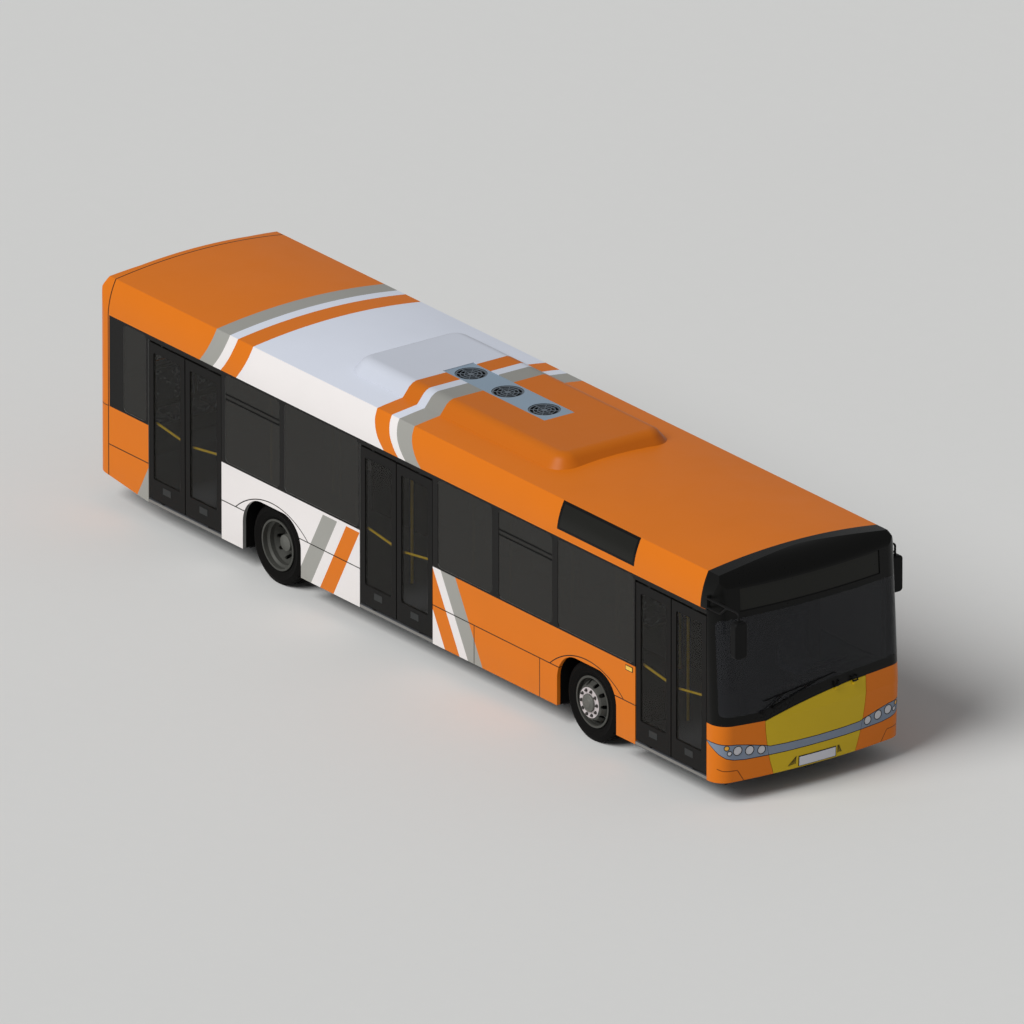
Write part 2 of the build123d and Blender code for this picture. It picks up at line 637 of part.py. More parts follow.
def chassis_stretches():
    """Rails and cross members under the floor: the front, middle and rear stretch, tow blocks at both ends."""
    z0, z1 = 205, FLOOR_Z0
    rail_y, rail_w = 500, 60
    f, r, w = FRONT_AXLE_X, REAR_AXLE_X, ENGINE_WALL_X
    # each stretch of rails: from, to and where its cross members are
    spans = ((f + 80, 5520, (f + 650, 4700, 5480)), (r + 90, f - 80, (r + 650, -900, 300, 1500, f - 650)),
             (w - 60, r - 90, (r - 650, r - 1850, w + 40)))
    parts = []
    for x0, x1, cross_x in spans:
        seg = None
        for sign in (-1, 1):
            rail = block(x0, x1, sign * rail_y - rail_w / 2, sign * rail_y + rail_w / 2, z0, z1)
            seg = rail if seg is None else seg + rail
        for x in cross_x:
            seg += block(x - 30, x + 30, -1120, 1120, z0 + 10, z1)
        parts.append(seg)
    front, mid, rear = parts
    front += block(5440, 5580, -60, 60, 190, z1 - SEAM)
    front -= Pos(5580 - 39, 0, 226) * Rot(0, 90, 0) * Cylinder(16, 80)
    for sign in (-1, 1):
        y0, y1 = sign * rail_y - rail_w / 2, sign * rail_y + rail_w / 2
        rear += block(w - 60, w, y0, y1, z0, 330)
        rear += block(REAR_X + 120, w, y0, y1, 270, 330)
    rear += block(REAR_X + 120, REAR_X + 180, -rail_y, rail_y, 270, 330)
    rear += block(REAR_X + 70, REAR_X + 180, -60, 60, 262, 338)
    rear -= Pos(REAR_X + 70 + 39, 0, 300) * Rot(0, 90, 0) * Cylinder(16, 80)
    return front.solids()[0], mid.solids()[0], rear.solids()[0]


def engine_block():
    """Engine and gearbox as one plain block on the rear rails."""
    return block(REAR_X + 180, ENGINE_WALL_X - 20, -560, 560, 330, 690)


def tyre(y, sign):
    """One tyre, as a ring on the rim's seat."""
    w, r = TYRE_W / 2, TYRE_R
    half = [(RIM_R + 2, -w + 41), (r - 65, -w), (r, -w + 32)]
    face = Plane.XY * make_face(Polyline(*half, *[(a, -b) for a, b in reversed(half)], close=True))
    ring = revolve(face, axis=Axis.Y)
    return Pos(0, sign * y, WHEEL_Z) * ring


def rim(y, disc_dir, hub, holes=True):
    """Rim with disc and hub. y is its centre plane, disc_dir 1 puts the mounting face at larger y.
    hub is (bore radius, from y, to y, outer radius, thickness of its closed end or 0)."""
    lip, seat, w = RIM_R + 14, RIM_R + 2, 118
    half = [(seat - 26, 34), (seat, 56), (seat, w - 15), (lip, w - 8), (lip, w),
            (seat - 12, w), (seat - 12, 60), (seat - 38, 38)]
    barrel = half + [(r, -v) for r, v in reversed(half)]
    face = make_face(Polyline(*barrel, close=True))
    solid = Pos(0, y, 0) * revolve(face, axis=Axis.Y)
    m = y + disc_dir * RIM_OFFSET
    d = disc_dir
    disc = [(80, m), (178, m), (205, m - d * 14), (236, m - d * 75), (254, y + d * 28), (254, y + d * 8),
            (222, m - d * 84), (196, m - d * 26), (170, m - d * 13), (80, m - d * 13)]
    face = make_face(Polyline(*disc, close=True))
    solid += revolve(face, axis=Axis.Y)
    if holes:
        for i in range(10):
            a = 36 * i + 18
            hole = Rot(0, a, 0) * Pos(0, m - d * 45, 218) * Rot(90, 0, 0) * Cylinder(25, 130)
            solid -= hole
    bore_r, y0, y1, hub_r, cap = hub
    solid += across(0, 0, y0, y1, hub_r)
    return solid - across(0, 0, y0 - 1, y1 - cap if cap else y1 + 1, bore_r)


def place_wheel(shape, x, sign):
    """Put a wheel piece made for the left side at its axle on either side."""
    if sign < 0:
        shape = mirror(shape, about=Plane.XZ)
    return Pos(x, 0, WHEEL_Z) * shape


def front_rim(sign):
    """Steered wheel's rim with its hub."""
    face_y = TRACK_Y + RIM_OFFSET
    return place_wheel(rim(TRACK_Y, 1, (SPINDLE_R + RUN, 1100, face_y + 25, 86, 25)), FRONT_AXLE_X, sign)


def rear_rims(sign):
    """Twin rims, inner and outer, each with its hub ring."""
    mid = TRACK_Y - RIM_OFFSET
    outer = rim(TRACK_Y, -1, (REAR_SPINDLE_R + RUN, mid, mid + 168, 96, 20))
    inner = rim(TRACK_Y - TWIN_GAP, 1, (REAR_SPINDLE_R + RUN, mid - 100, mid - 1, 96, 0))
    return Compound(children=[place_wheel(s, REAR_AXLE_X, sign).solids()[0] for s in (outer, inner)])


def front_tyre(sign):
    """Steered wheel's tyre."""
    return Pos(FRONT_AXLE_X, 0, 0) * tyre(TRACK_Y, sign)


def rear_tyres(sign):
    """Twin tyres."""
    return Compound(children=[(Pos(REAR_AXLE_X, 0, 0) * tyre(y, sign)).solids()[0]
                              for y in (TRACK_Y, TRACK_Y - TWIN_GAP)])


def knuckle(sign):
    """Steering knuckle: kingpin, two ears, stub axle and steering arm."""
    x, z, k = FRONT_AXLE_X, WHEEL_Z, KINGPIN_Y
    body = rod(x, k, z - 110, z + 110, 30)
    for z0, z1 in ((z - 110, z - 72), (z + 72, z + 110)):
        body += block(x - 50, x + 50, k - 45, k + 85, z0, z1)
    body += block(x - 50, x + 50, k + 58, k + 88, z - 110, z + 110)
    body += across(x, z, k + 80, TRACK_Y + RIM_OFFSET - 8, SPINDLE_R)
    body += block(x - 230, x - 30, k - 45, k - 5, z - 110, z - 88)
    return body if sign > 0 else mirror(body, about=Plane.XZ)


def front_axle():
    """Drop beam under the floor, rising to an eye round each kingpin."""
    x, z, k = FRONT_AXLE_X, WHEEL_Z, KINGPIN_Y
    beam = block(x - 60, x + 60, -640, 640, 190, FLOOR_Z0)
    for sign in (-1, 1):
        beam += block(x - 45, x + 45, sign * 585, sign * 660, 190, z + 45)
        beam += block(x - 40, x + 40, sign * 590, sign * (k - 20), z - 40, z + 45)
        beam += rod(x, sign * k, z - 62, z + 62, 56)
        beam -= rod(x, sign * k, z - 63, z + 63, 30 + RUN)
    return beam


def rear_axle():
    """Portal axle: low bridge, upright gear casings and spindles."""
    x, z = REAR_AXLE_X, WHEEL_Z
    beam = block(x - 80, x + 80, -612, 612, 190, FLOOR_Z0)
    for sign in (-1, 1):
        beam += block(x - 90, x + 90, sign * 568, sign * 612, 195, z + 95)
        beam += across(x, z, sign * 600, sign * (TRACK_Y - 13), REAR_SPINDLE_R)
    return beam


def roof_pod():
    """Roof unit with sloped sides and three fan wells."""
    x0, x1 = POD_X
    face = Pos((x0 + x1) / 2, 0, POD_FOOT_Z) * RectangleRounded(x1 - x0, 2 * POD_HALF_Y, POD_R)
    pod = extrude(face, amount=POD_TOP_Z - POD_FOOT_Z, dir=(0, 0, 1), taper=POD_TAPER)
    top = pod.faces().sort_by(Axis.Z)[-1]
    pod = fillet(top.edges(), POD_EDGE_R)
    s0, s1, half = STRIP
    pod -= block(s0, s1, -half, half, POD_TOP_Z - 8, POD_TOP_Z + 20)
    for x in FAN_X:
        pod -= rod(x, 0, GRILLE_Z - 60, POD_TOP_Z, FAN_R - 15) + rod(x, 0, GRILLE_Z, POD_TOP_Z, FAN_R)
    return pod - OUTER


def fan_grilles():
    """Guard over each fan: rings joined by spokes, resting on the well's ledge."""
    t = 8
    parts = []
    for x in FAN_X:
        guard = Cylinder(GRILLE_RINGS[-1][1], t)
        for r1, r0 in GRILLE_RINGS[:-1]:
            guard += Cylinder(r1, t) - Cylinder(r0, t)
        for i in range(4):
            guard += Rot(0, 0, 45 * i) * Box(2 * GRILLE_RINGS[0][1] + 10, 8, t)
        parts.append((Pos(x, 0, GRILLE_Z + t / 2) * guard).solids()[0])
    return Compound(children=parts)


COLUMN = Pos(5130, 640, 960) * Rot(0, -32, 0)      # steering column, along its own Z
COLUMN_END = 150


def driver_station():
    """Dashboard across the front, driver's platform and steering column."""
    dash = INNER & block(5330, BULKHEAD_X, -440, HALF_W, FLOOR_Z1, 1000)
    desk = INNER & block(5080, 5330 + 1, 180, HALF_W, 760, 1060)
    pod = INNER & block(5250, 5400, 180, HALF_W, 700, 1090)
    deck = INNER & block(4120, 5331, 150, HALF_W, FLOOR_Z1, 520)
    leg = block(5150, 5331, 420, 860, 500, 780)
    column = COLUMN * (Cylinder(28, 2 * COLUMN_END) + Pos(0, 0, COLUMN_END + 10) * Cylinder(10, 24))
    wall = INNER & block(4075, 4120, 150, HALF_W, FLOOR_Z1, 1450)
    return dash + desk + pod + deck + leg + column + wall


def steering_wheel():
    """Steering wheel: ring, three spokes and boss."""
    ring = Torus(225, 15)
    boss = Cylinder(45, 40)
    for a in (90, 210, 330):
        boss += Rot(0, 0, a) * Pos(115, 0, 0) * Box(225, 26, 14)
    boss -= Pos(0, 0, -10) * Cylinder(10 + RUN, 24)
    return COLUMN * Pos(0, 0, COLUMN_END + 22) * (ring + boss)


def seat(x, y0, y1, z0, facing=1):
    """One seat unit: pedestal, cushion and back."""
    f = facing
    mid = (y0 + y1) / 2
    unit = block(x - 60 * f, x + 60 * f, mid - 60, mid + 60, z0, z0 + 380)
    unit += block(x - 200 * f, x + 220 * f, y0, y1, z0 + 370, z0 + 440)
    back = block(x - 205 * f, x - 150 * f, y0, y1, z0 + 400, z0 + 980)
    return unit + back


def driver_seat():
    """Driver's seat on its platform."""
    return seat(4560, 420, 880, 520)


def passenger_seats():
    """Double seats along the left side and the bench on the engine deck."""
    units = [seat(x, 330, HALF_W - 85, FLOOR_Z1) for x in (-1650, -750, 150, 1050, 1950)]
    half = HALF_W - 95
    bench = block(REAR_X + 100, REAR_X + 540, -half, half, ENGINE_DECK_Z, ENGINE_DECK_Z + 240)
    bench += block(REAR_X + 90, REAR_X + 160, -half, half, ENGINE_DECK_Z, ENGINE_DECK_Z + 700)
    units.append(bench & INNER)
    return Compound(children=[u.solids()[0] for u in units])


def ceiling_z(y):
    """Height of the lining over a point across the bus."""
    cy, cz = CREASE_Y - WALL, CREASE_Z - ROOF_T
    rise = CROWN_Z - CREASE_Z
    radius = (cy * cy + rise * rise) / (2 * rise)
    return cz + rise - radius + (radius * radius - y * y) ** 0.5


def grab_poles():
    """Upright grab poles between floor and ceiling, each joined to a long ceiling rail."""
    parts = []
    for sign in (-1, 1):
        y = sign * 430
        rail = Pos(0, y, 2060) * Rot(0, 90, 0) * Cylinder(16, 8200)
        for x in (-3900, -2600, -1250, 600, 1420, 2600, 3900):
            room = INNER + block(x - 50, x + 50, y - 50, y + 50, 0, 2000)
            rail += rod(x, y, FLOOR_Z1, ceiling_z(430) + 30, 17) & room
        parts.append(rail.solids()[0])
    return Compound(children=parts)


def tube(points, r, bend):
    """Bent tube through points."""
    path = FilletPolyline(*points, radius=bend) if len(points) > 2 else Line(*points)
    first = Vector(*points[1]) - Vector(*points[0])
    return sweep(Plane(origin=points[0], z_dir=first) * Circle(r), path=path)


def mirror_head(x, y, z, width):
    """Mirror housing."""
    head = extrude(Pos(x, y, z) * (Plane.YZ * RectangleRounded(width, 430, 45)), amount=47, both=True)
    return fillet(head.faces().sort_by(Axis.X)[-1].edges(), 20)


def mirrors():
    """Both outside mirrors with their arms and foot plates."""
    right_y, left_y = -1292, 1360
    head_x, head_z = 5990, 2130
    top_z = head_z + 215
    right = mirror_head(head_x, right_y, head_z, 170)
    right += tube(((5400, right_y, 2440), (head_x, right_y, 2440), (head_x, right_y, top_z - 30)), 13, 60)
    bends = ((5400, right_y, 2330), (5640, right_y, 2330), (5760, right_y, 2432), (5830, right_y, 2440))
    right += tube(bends, 13, 50)
    right += block(5385, 5412, -1305, -1235, 2300, 2470)
    right -= OUTER
    left = mirror_head(5330, left_y, 2090, 160)
    left += tube(((5330, 1235, 2450), (5330, left_y, 2450), (5330, left_y, 2280)), 13, 40)
    left += tube(((5330, 1262, 2350), (5330, left_y + 2, 2350)), 13, 40)
    left -= OUTER
    return Compound(children=[s.solids().sort_by(SortBy.VOLUME)[-1] for s in (right, left)])


def wiper():
    """Long wiper blade that follows the glass, on two arms with their pivots in the black surround."""
    at = [Vector(front_x(y, z) + WIPER_LIFT, y, z) for y, z in BLADE]
    path = ThreePointArc(*at)
    blade = sweep(Plane(origin=at[0], z_dir=path % 0) * Circle(6), path=path)
    for (y0, z0), (y1, z1) in WIPER_ARMS:
        foot = Vector(front_x(y0, z0) + 26, y0, z0)
        blade += tube((foot, Vector(front_x(y1, z1) + WIPER_LIFT + 4, y1, z1)), 6, 0)
        blade += Pos(foot.X - 10, y0, z0) * Rot(0, 90, 0) * Cylinder(18, 44)
    return blade - OUTER


rails_front, rails_mid, rails_rear = chassis_stretches()
out(rails_mid, "chassis_frame")
out(Compound(children=[rails_front, rails_rear]), "chassis_ends")
out(floor_deck(), "floor_deck")
out(wheel_boxes(), "wheel_boxes")
out(engine_deck(), "engine_deck")
out(front_bulkhead(), "front_bulkhead")
out(side_wall(-1, RIGHT_WINDOWS), "side_wall_right")
out(side_wall(1, LEFT_WINDOWS), "side_wall_left")
out(roof_shell(), "roof_shell")
out(roof_pod(), "roof_pod")
out(rear_wall(), "rear_wall")
out(engine_lid(), "engine_lid")
out(engine_block(), "engine_block")
out(front_mask(), "front_mask")
out(front_lower(), "front_lower")
out(front_flap(), "front_flap")
out(windscreen(), "windscreen")
out(side_glass(), "saloon_glass")
out(door_headers(), "door_headers")
out(driver_station(), "driver_station")
out(steering_wheel(), "steering_wheel")
out(driver_seat(), "driver_seat")
out(passenger_seats(), "passenger_seats")
out(grab_poles(), "grab_poles")
out(mirrors(), "mirrors")
out(lamps(), "lamps")
out(wiper(), "wiper")
out(fan_grilles(), "fan_grilles")
out(front_axle(), "front_axle")
out(rear_axle(), "rear_axle")
for side, sign in (("left", 1), ("right", -1)):
    out(knuckle(sign), "knuckle_" + side)
    out(front_tyre(sign), "tyre_front_" + side)
    out(front_rim(sign), "rim_front_" + side)
    out(rear_tyres(sign), "tyres_rear_" + side)
    out(rear_rims(sign), "rims_rear_" + side)
for door, x, width in DOOR_TABLE:
    for leaf, sign in (("a", -1), ("b", 1)):
        name = door + "_" + leaf
        out(door_post(x, width, sign), "door_post_" + name)
        out(door_leaf(x, width, sign), "door_leaf_" + name)
        out(leaf_glass(x, width, sign), "door_glass_" + name)
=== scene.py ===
import math
import bmesh
import bpy
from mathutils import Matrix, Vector


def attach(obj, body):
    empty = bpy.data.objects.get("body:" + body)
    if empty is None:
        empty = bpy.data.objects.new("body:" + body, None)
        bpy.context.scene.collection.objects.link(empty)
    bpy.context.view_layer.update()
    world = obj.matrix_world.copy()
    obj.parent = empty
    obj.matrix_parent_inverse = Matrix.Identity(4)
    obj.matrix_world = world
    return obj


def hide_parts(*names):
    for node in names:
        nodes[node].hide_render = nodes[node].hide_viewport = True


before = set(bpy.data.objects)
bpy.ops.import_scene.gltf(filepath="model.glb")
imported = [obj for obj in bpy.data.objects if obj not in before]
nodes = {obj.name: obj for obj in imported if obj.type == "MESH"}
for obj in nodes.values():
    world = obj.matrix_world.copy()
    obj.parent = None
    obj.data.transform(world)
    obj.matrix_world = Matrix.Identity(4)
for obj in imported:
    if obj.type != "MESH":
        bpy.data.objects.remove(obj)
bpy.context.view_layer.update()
scene = bpy.context.scene
scene.view_settings.view_transform = "Standard"

# ------------------------------------------------------------------ studio
# A wide pale floor of painted screed, one large soft lamp from the door side and a dim even sky.
# The camera stands far off behind a long lens, so upright edges stay upright.


def srgb(r, g, b):
    """Paint colour given as 0 to 255, for a shader."""
    linear = (v / 255 / 12.92 if v <= 10 else ((v / 255 + 0.055) / 1.055) ** 2.4 for v in (r, g, b))
    return tuple(linear) + (1.0,)


def bare(name):
    """New material, with its node tree and its shader."""
    material = bpy.data.materials.new(name)
    material.use_nodes = True
    return material, material.node_tree, material.node_tree.nodes["Principled BSDF"]


def calc(tree, op, *values, clamp=False):
    """One Math node; each value is a number or a socket."""
    node = tree.nodes.new("ShaderNodeMath")
    node.operation, node.use_clamp = op, clamp
    for slot, value in zip(node.inputs, values):
        if isinstance(value, bpy.types.NodeSocket):
            tree.links.new(value, slot)
        else:
            slot.default_value = value
    return node.outputs[0]


def place(tree):
    """X, Y and Z of the surface in the bus's own frame, and the whole vector."""
    at = tree.nodes.new("ShaderNodeTexCoord").outputs["Object"]
    split = tree.nodes.new("ShaderNodeSeparateXYZ")
    tree.links.new(at, split.inputs[0])
    return split.outputs[0], split.outputs[1], split.outputs[2], at


def grain(tree, at, scale, detail=3.0, stretch=(1, 1, 1)):
    """Noise fixed to the piece, 0 to 1."""
    turn = tree.nodes.new("ShaderNodeMapping")
    turn.inputs["Scale"].default_value = stretch
    noise = tree.nodes.new("ShaderNodeTexNoise")
    noise.inputs["Scale"].default_value, noise.inputs["Detail"].default_value = scale, detail
    tree.links.new(at, turn.inputs[0])
    tree.links.new(turn.outputs[0], noise.inputs["Vector"])
    return noise.outputs[0]


def over(tree, mask, under, top):
    """Top colour laid over the one under it where the mask is 1."""
    mix = tree.nodes.new("ShaderNodeMix")
    mix.data_type = "RGBA"
    for slot, value in ((0, mask), (6, under), (7, top)):
        if isinstance(value, bpy.types.NodeSocket):
            tree.links.new(value, mix.inputs[slot])
        else:
            mix.inputs[slot].default_value = value
    return mix.outputs[2]


def spread(tree, value, low, high):
    """A 0 to 1 value spread between two numbers."""
    node = tree.nodes.new("ShaderNodeMapRange")
    tree.links.new(value, node.inputs[0])
    node.inputs[3].default_value, node.inputs[4].default_value = low, high
    return node.outputs[0]


def relief(tree, height, depth, strength=1.0):
    """Small relief from a height; the height's 1 stands for the given depth in metres."""
    bump = tree.nodes.new("ShaderNodeBump")
    bump.inputs["Distance"].default_value, bump.inputs["Strength"].default_value = depth, strength
    tree.links.new(height, bump.inputs["Height"])
    return bump.outputs[0]


def finish(name, colour, rough=(0.4, 0.6), scale=30.0, depth=0.0003, shade=0.12, metal=0.0, coat=0.0,
           stretch=(1, 1, 1), shine=0.25):
    """A plain finish with its own grain, uneven sheen and fine relief."""
    material, tree, shader = bare(name)
    at = place(tree)[3]
    fine, broad = grain(tree, at, scale * 6, 4, stretch), grain(tree, at, scale * 0.15, 2)
    light = tuple(min(1, c * (1 + shade)) for c in colour[:3]) + (1,)
    dark = tuple(c * (1 - shade) for c in colour[:3]) + (1,)
    mixed = calc(tree, "ADD", calc(tree, "MULTIPLY", fine, 0.5), calc(tree, "MULTIPLY", broad, 0.5))
    tree.links.new(over(tree, mixed, dark, light), shader.inputs["Base Color"])
    tree.links.new(spread(tree, mixed, *rough), shader.inputs["Roughness"])
    tree.links.new(relief(tree, fine, depth), shader.inputs["Normal"])
    shader.inputs["Metallic"].default_value = metal
    shader.inputs["Coat Weight"].default_value = coat
    shader.inputs["Specular IOR Level"].default_value = shine
    return material


def dress(names, material):
    """Give frame pieces a finish."""
    for name in names:
        nodes[name].data.materials.clear()
        nodes[name].data.materials.append(material)


def new_piece(name, verts, faces, material, smooth=True):
    """Mesh piece from its points and faces."""
    mesh = bpy.data.meshes.new(name)
    mesh.from_pydata([tuple(v) for v in verts], [], faces)
    mesh.validate()
    mesh.materials.append(material)
    mesh.polygons.foreach_set("use_smooth", [smooth] * len(mesh.polygons))
    piece = bpy.data.objects.new(name, mesh)
    scene.collection.objects.link(piece)
    return piece


screed = finish("pale_screed", srgb(226, 226, 224), rough=(0.75, 0.9), scale=0.8, depth=0.0006, shade=0.015)
reach = 60
corners = [(-reach, -reach, 0), (reach, -reach, 0), (reach, reach, 0), (-reach, reach, 0)]
floor = new_piece("studio_floor", corners, [(0, 1, 2, 3)], screed, smooth=False)

lamp = bpy.data.lights.new("soft_key", "SUN")
lamp.energy, lamp.angle = 2.5, math.radians(35)
lamp_object = bpy.data.objects.new("soft_key", lamp)
lamp_object.rotation_euler = Vector((0.02, -0.72, 0.69)).to_track_quat("Z", "Y").to_euler()
scene.collection.objects.link(lamp_object)

sky = bpy.data.worlds.new("even_sky")
sky.use_nodes = True
sky_tree = sky.node_tree
sky_light = sky_tree.nodes["Background"]
sky_light.inputs["Color"].default_value = (0.97, 0.98, 1.0, 1)
rays = sky_tree.nodes.new("ShaderNodeLightPath")
seen = calc(sky_tree, "MAXIMUM", rays.outputs["Is Camera Ray"], rays.outputs["Is Transmission Ray"])
seen = calc(sky_tree, "MAXIMUM", seen, calc(sky_tree, "MULTIPLY", rays.outputs["Is Glossy Ray"], 0.12))
sky_tree.links.new(calc(sky_tree, "MULTIPLY_ADD", seen, 0.6, 0.25), sky_light.inputs["Strength"])
scene.world = sky

turn, rise, distance = math.radians(53.4), math.radians(21.5), 476.7
back = Vector((math.sin(turn) * math.cos(rise), -math.cos(turn) * math.cos(rise), math.sin(rise)))
camera = bpy.data.cameras.new("long_lens")
camera.lens, camera.sensor_width, camera.clip_end = 1500, 36, 2000
camera_object = bpy.data.objects.new("long_lens", camera)
camera_object.location = Vector((-0.3815, 0.3169, 1.2574)) + back * distance
camera_object.rotation_euler = (-back).to_track_quat("-Z", "Y").to_euler()
scene.collection.objects.link(camera_object)
scene.camera = camera_object

# ------------------------------------------------------------------ underframe, axles and engine
# Welded steel rails and cross members in chassis black, cast axles and knuckles, and the engine and
# gearbox as one iron lump on the rear rails.
chassis_black = finish("chassis_black", srgb(38, 38, 40), rough=(0.45, 0.7), scale=20, shade=0.2)
dress(("chassis_frame", "chassis_ends"), chassis_black)
axle_iron = finish("cast_axle_iron", srgb(58, 57, 58), rough=(0.55, 0.8), scale=35, depth=0.0008, shade=0.25,
                   metal=0.4)
dress(("front_axle", "rear_axle", "knuckle_left", "knuckle_right"), axle_iron)
engine_iron = finish("engine_cast_iron", srgb(70, 70, 72), rough=(0.5, 0.8), scale=30, depth=0.001, shade=0.3,
                     metal=0.5)
dress(("engine_block",), engine_iron)

# ------------------------------------------------------------------ floor and wheel boxes
# The flat floor and the engine deck are ply under studded grey sheet; the wheel boxes are black
# sprayed sheet steel below, and the front bulkhead is a painted panel.
sheet = finish("studded_floor_sheet", srgb(84, 86, 90), rough=(0.6, 0.8), scale=40, depth=0.001, shade=0.18)
tree = sheet.node_tree
x, y, z, at = place(tree)
stud = tree.nodes.new("ShaderNodeTexVoronoi")
stud.inputs["Scale"].default_value = 28
stud.inputs["Randomness"].default_value = 0.0
tree.links.new(at, stud.inputs["Vector"])
raised = calc(tree, "LESS_THAN", stud.outputs["Distance"], 0.3)
tree.links.new(relief(tree, raised, 0.0012), tree.nodes["Principled BSDF"].inputs["Normal"])
dress(("floor_deck", "engine_deck"), sheet)
box_black = finish("wheel_box_black", srgb(13, 13, 13), rough=(0.7, 0.95), scale=45, depth=0.0015, shade=0.3,
                   shine=0.1)
dress(("wheel_boxes",), box_black)
dress(("front_bulkhead",), finish("bulkhead_grey", srgb(60, 61, 63), rough=(0.5, 0.7)))

# ------------------------------------------------------------------ body shell
# Side walls, roof, rear wall and engine lid are sheet panels in two-pack enamel: orange, white and
# grey slanted stripes, with a black window band, dark panel joints and a pale inside lining.


def broken_line(tree, value, points):
    """Height of a line through points, followed along a value."""
    total = points[0][1]
    for (a, za), (b, zb) in zip(points, points[1:]):
        if abs(zb - za) < 1e-6:
            continue
        leg = tree.nodes.new("ShaderNodeMapRange")
        tree.links.new(value, leg.inputs[0])
        for i, number in enumerate((a, b, 0, zb - za), 1):
            leg.inputs[i].default_value = number
        total = calc(tree, "ADD", leg.outputs[0], total)
    return total


def within(tree, value, low, high):
    """1 where a value lies between two numbers."""
    return calc(tree, "MULTIPLY", calc(tree, "GREATER_THAN", value, low), calc(tree, "LESS_THAN", value, high))


def both(tree, *masks):
    """1 where every mask is."""
    result = masks[0]
    for mask in masks[1:]:
        result = calc(tree, "MULTIPLY", result, mask)
    return result


def either(tree, *masks):
    """1 where any mask is."""
    result = masks[0]
    for mask in masks[1:]:
        result = calc(tree, "MAXIMUM", result, mask)
    return result


ORANGE, ENAMEL_WHITE, STRIPE_GREY = srgb(221, 118, 24), srgb(236, 231, 229), srgb(160, 159, 153)
BAND_BLACK, JOINT_DARK, LINING = srgb(18, 17, 16), srgb(26, 22, 18), srgb(128, 128, 126)
FRONT_AXLE, REAR_AXLE, WHEEL_Z = 3.15, -2.75, 0.465
SKIRT_Z, BAND_FOOT, BAND_TOP = 0.73, 1.19, 2.287        # joint over the skirt, and the window band
TAIL_SEAM = -5.85                                       # where the rear end's panels start
FLANK = 1.2                                             # farther out than this is a side's outer skin


def stripes(tree, colour, value, steps):
    """Colours that follow each other along a value, each from its step on."""
    for start, paint in steps:
        colour = over(tree, calc(tree, "GREATER_THAN", value, start), colour, paint)
    return colour


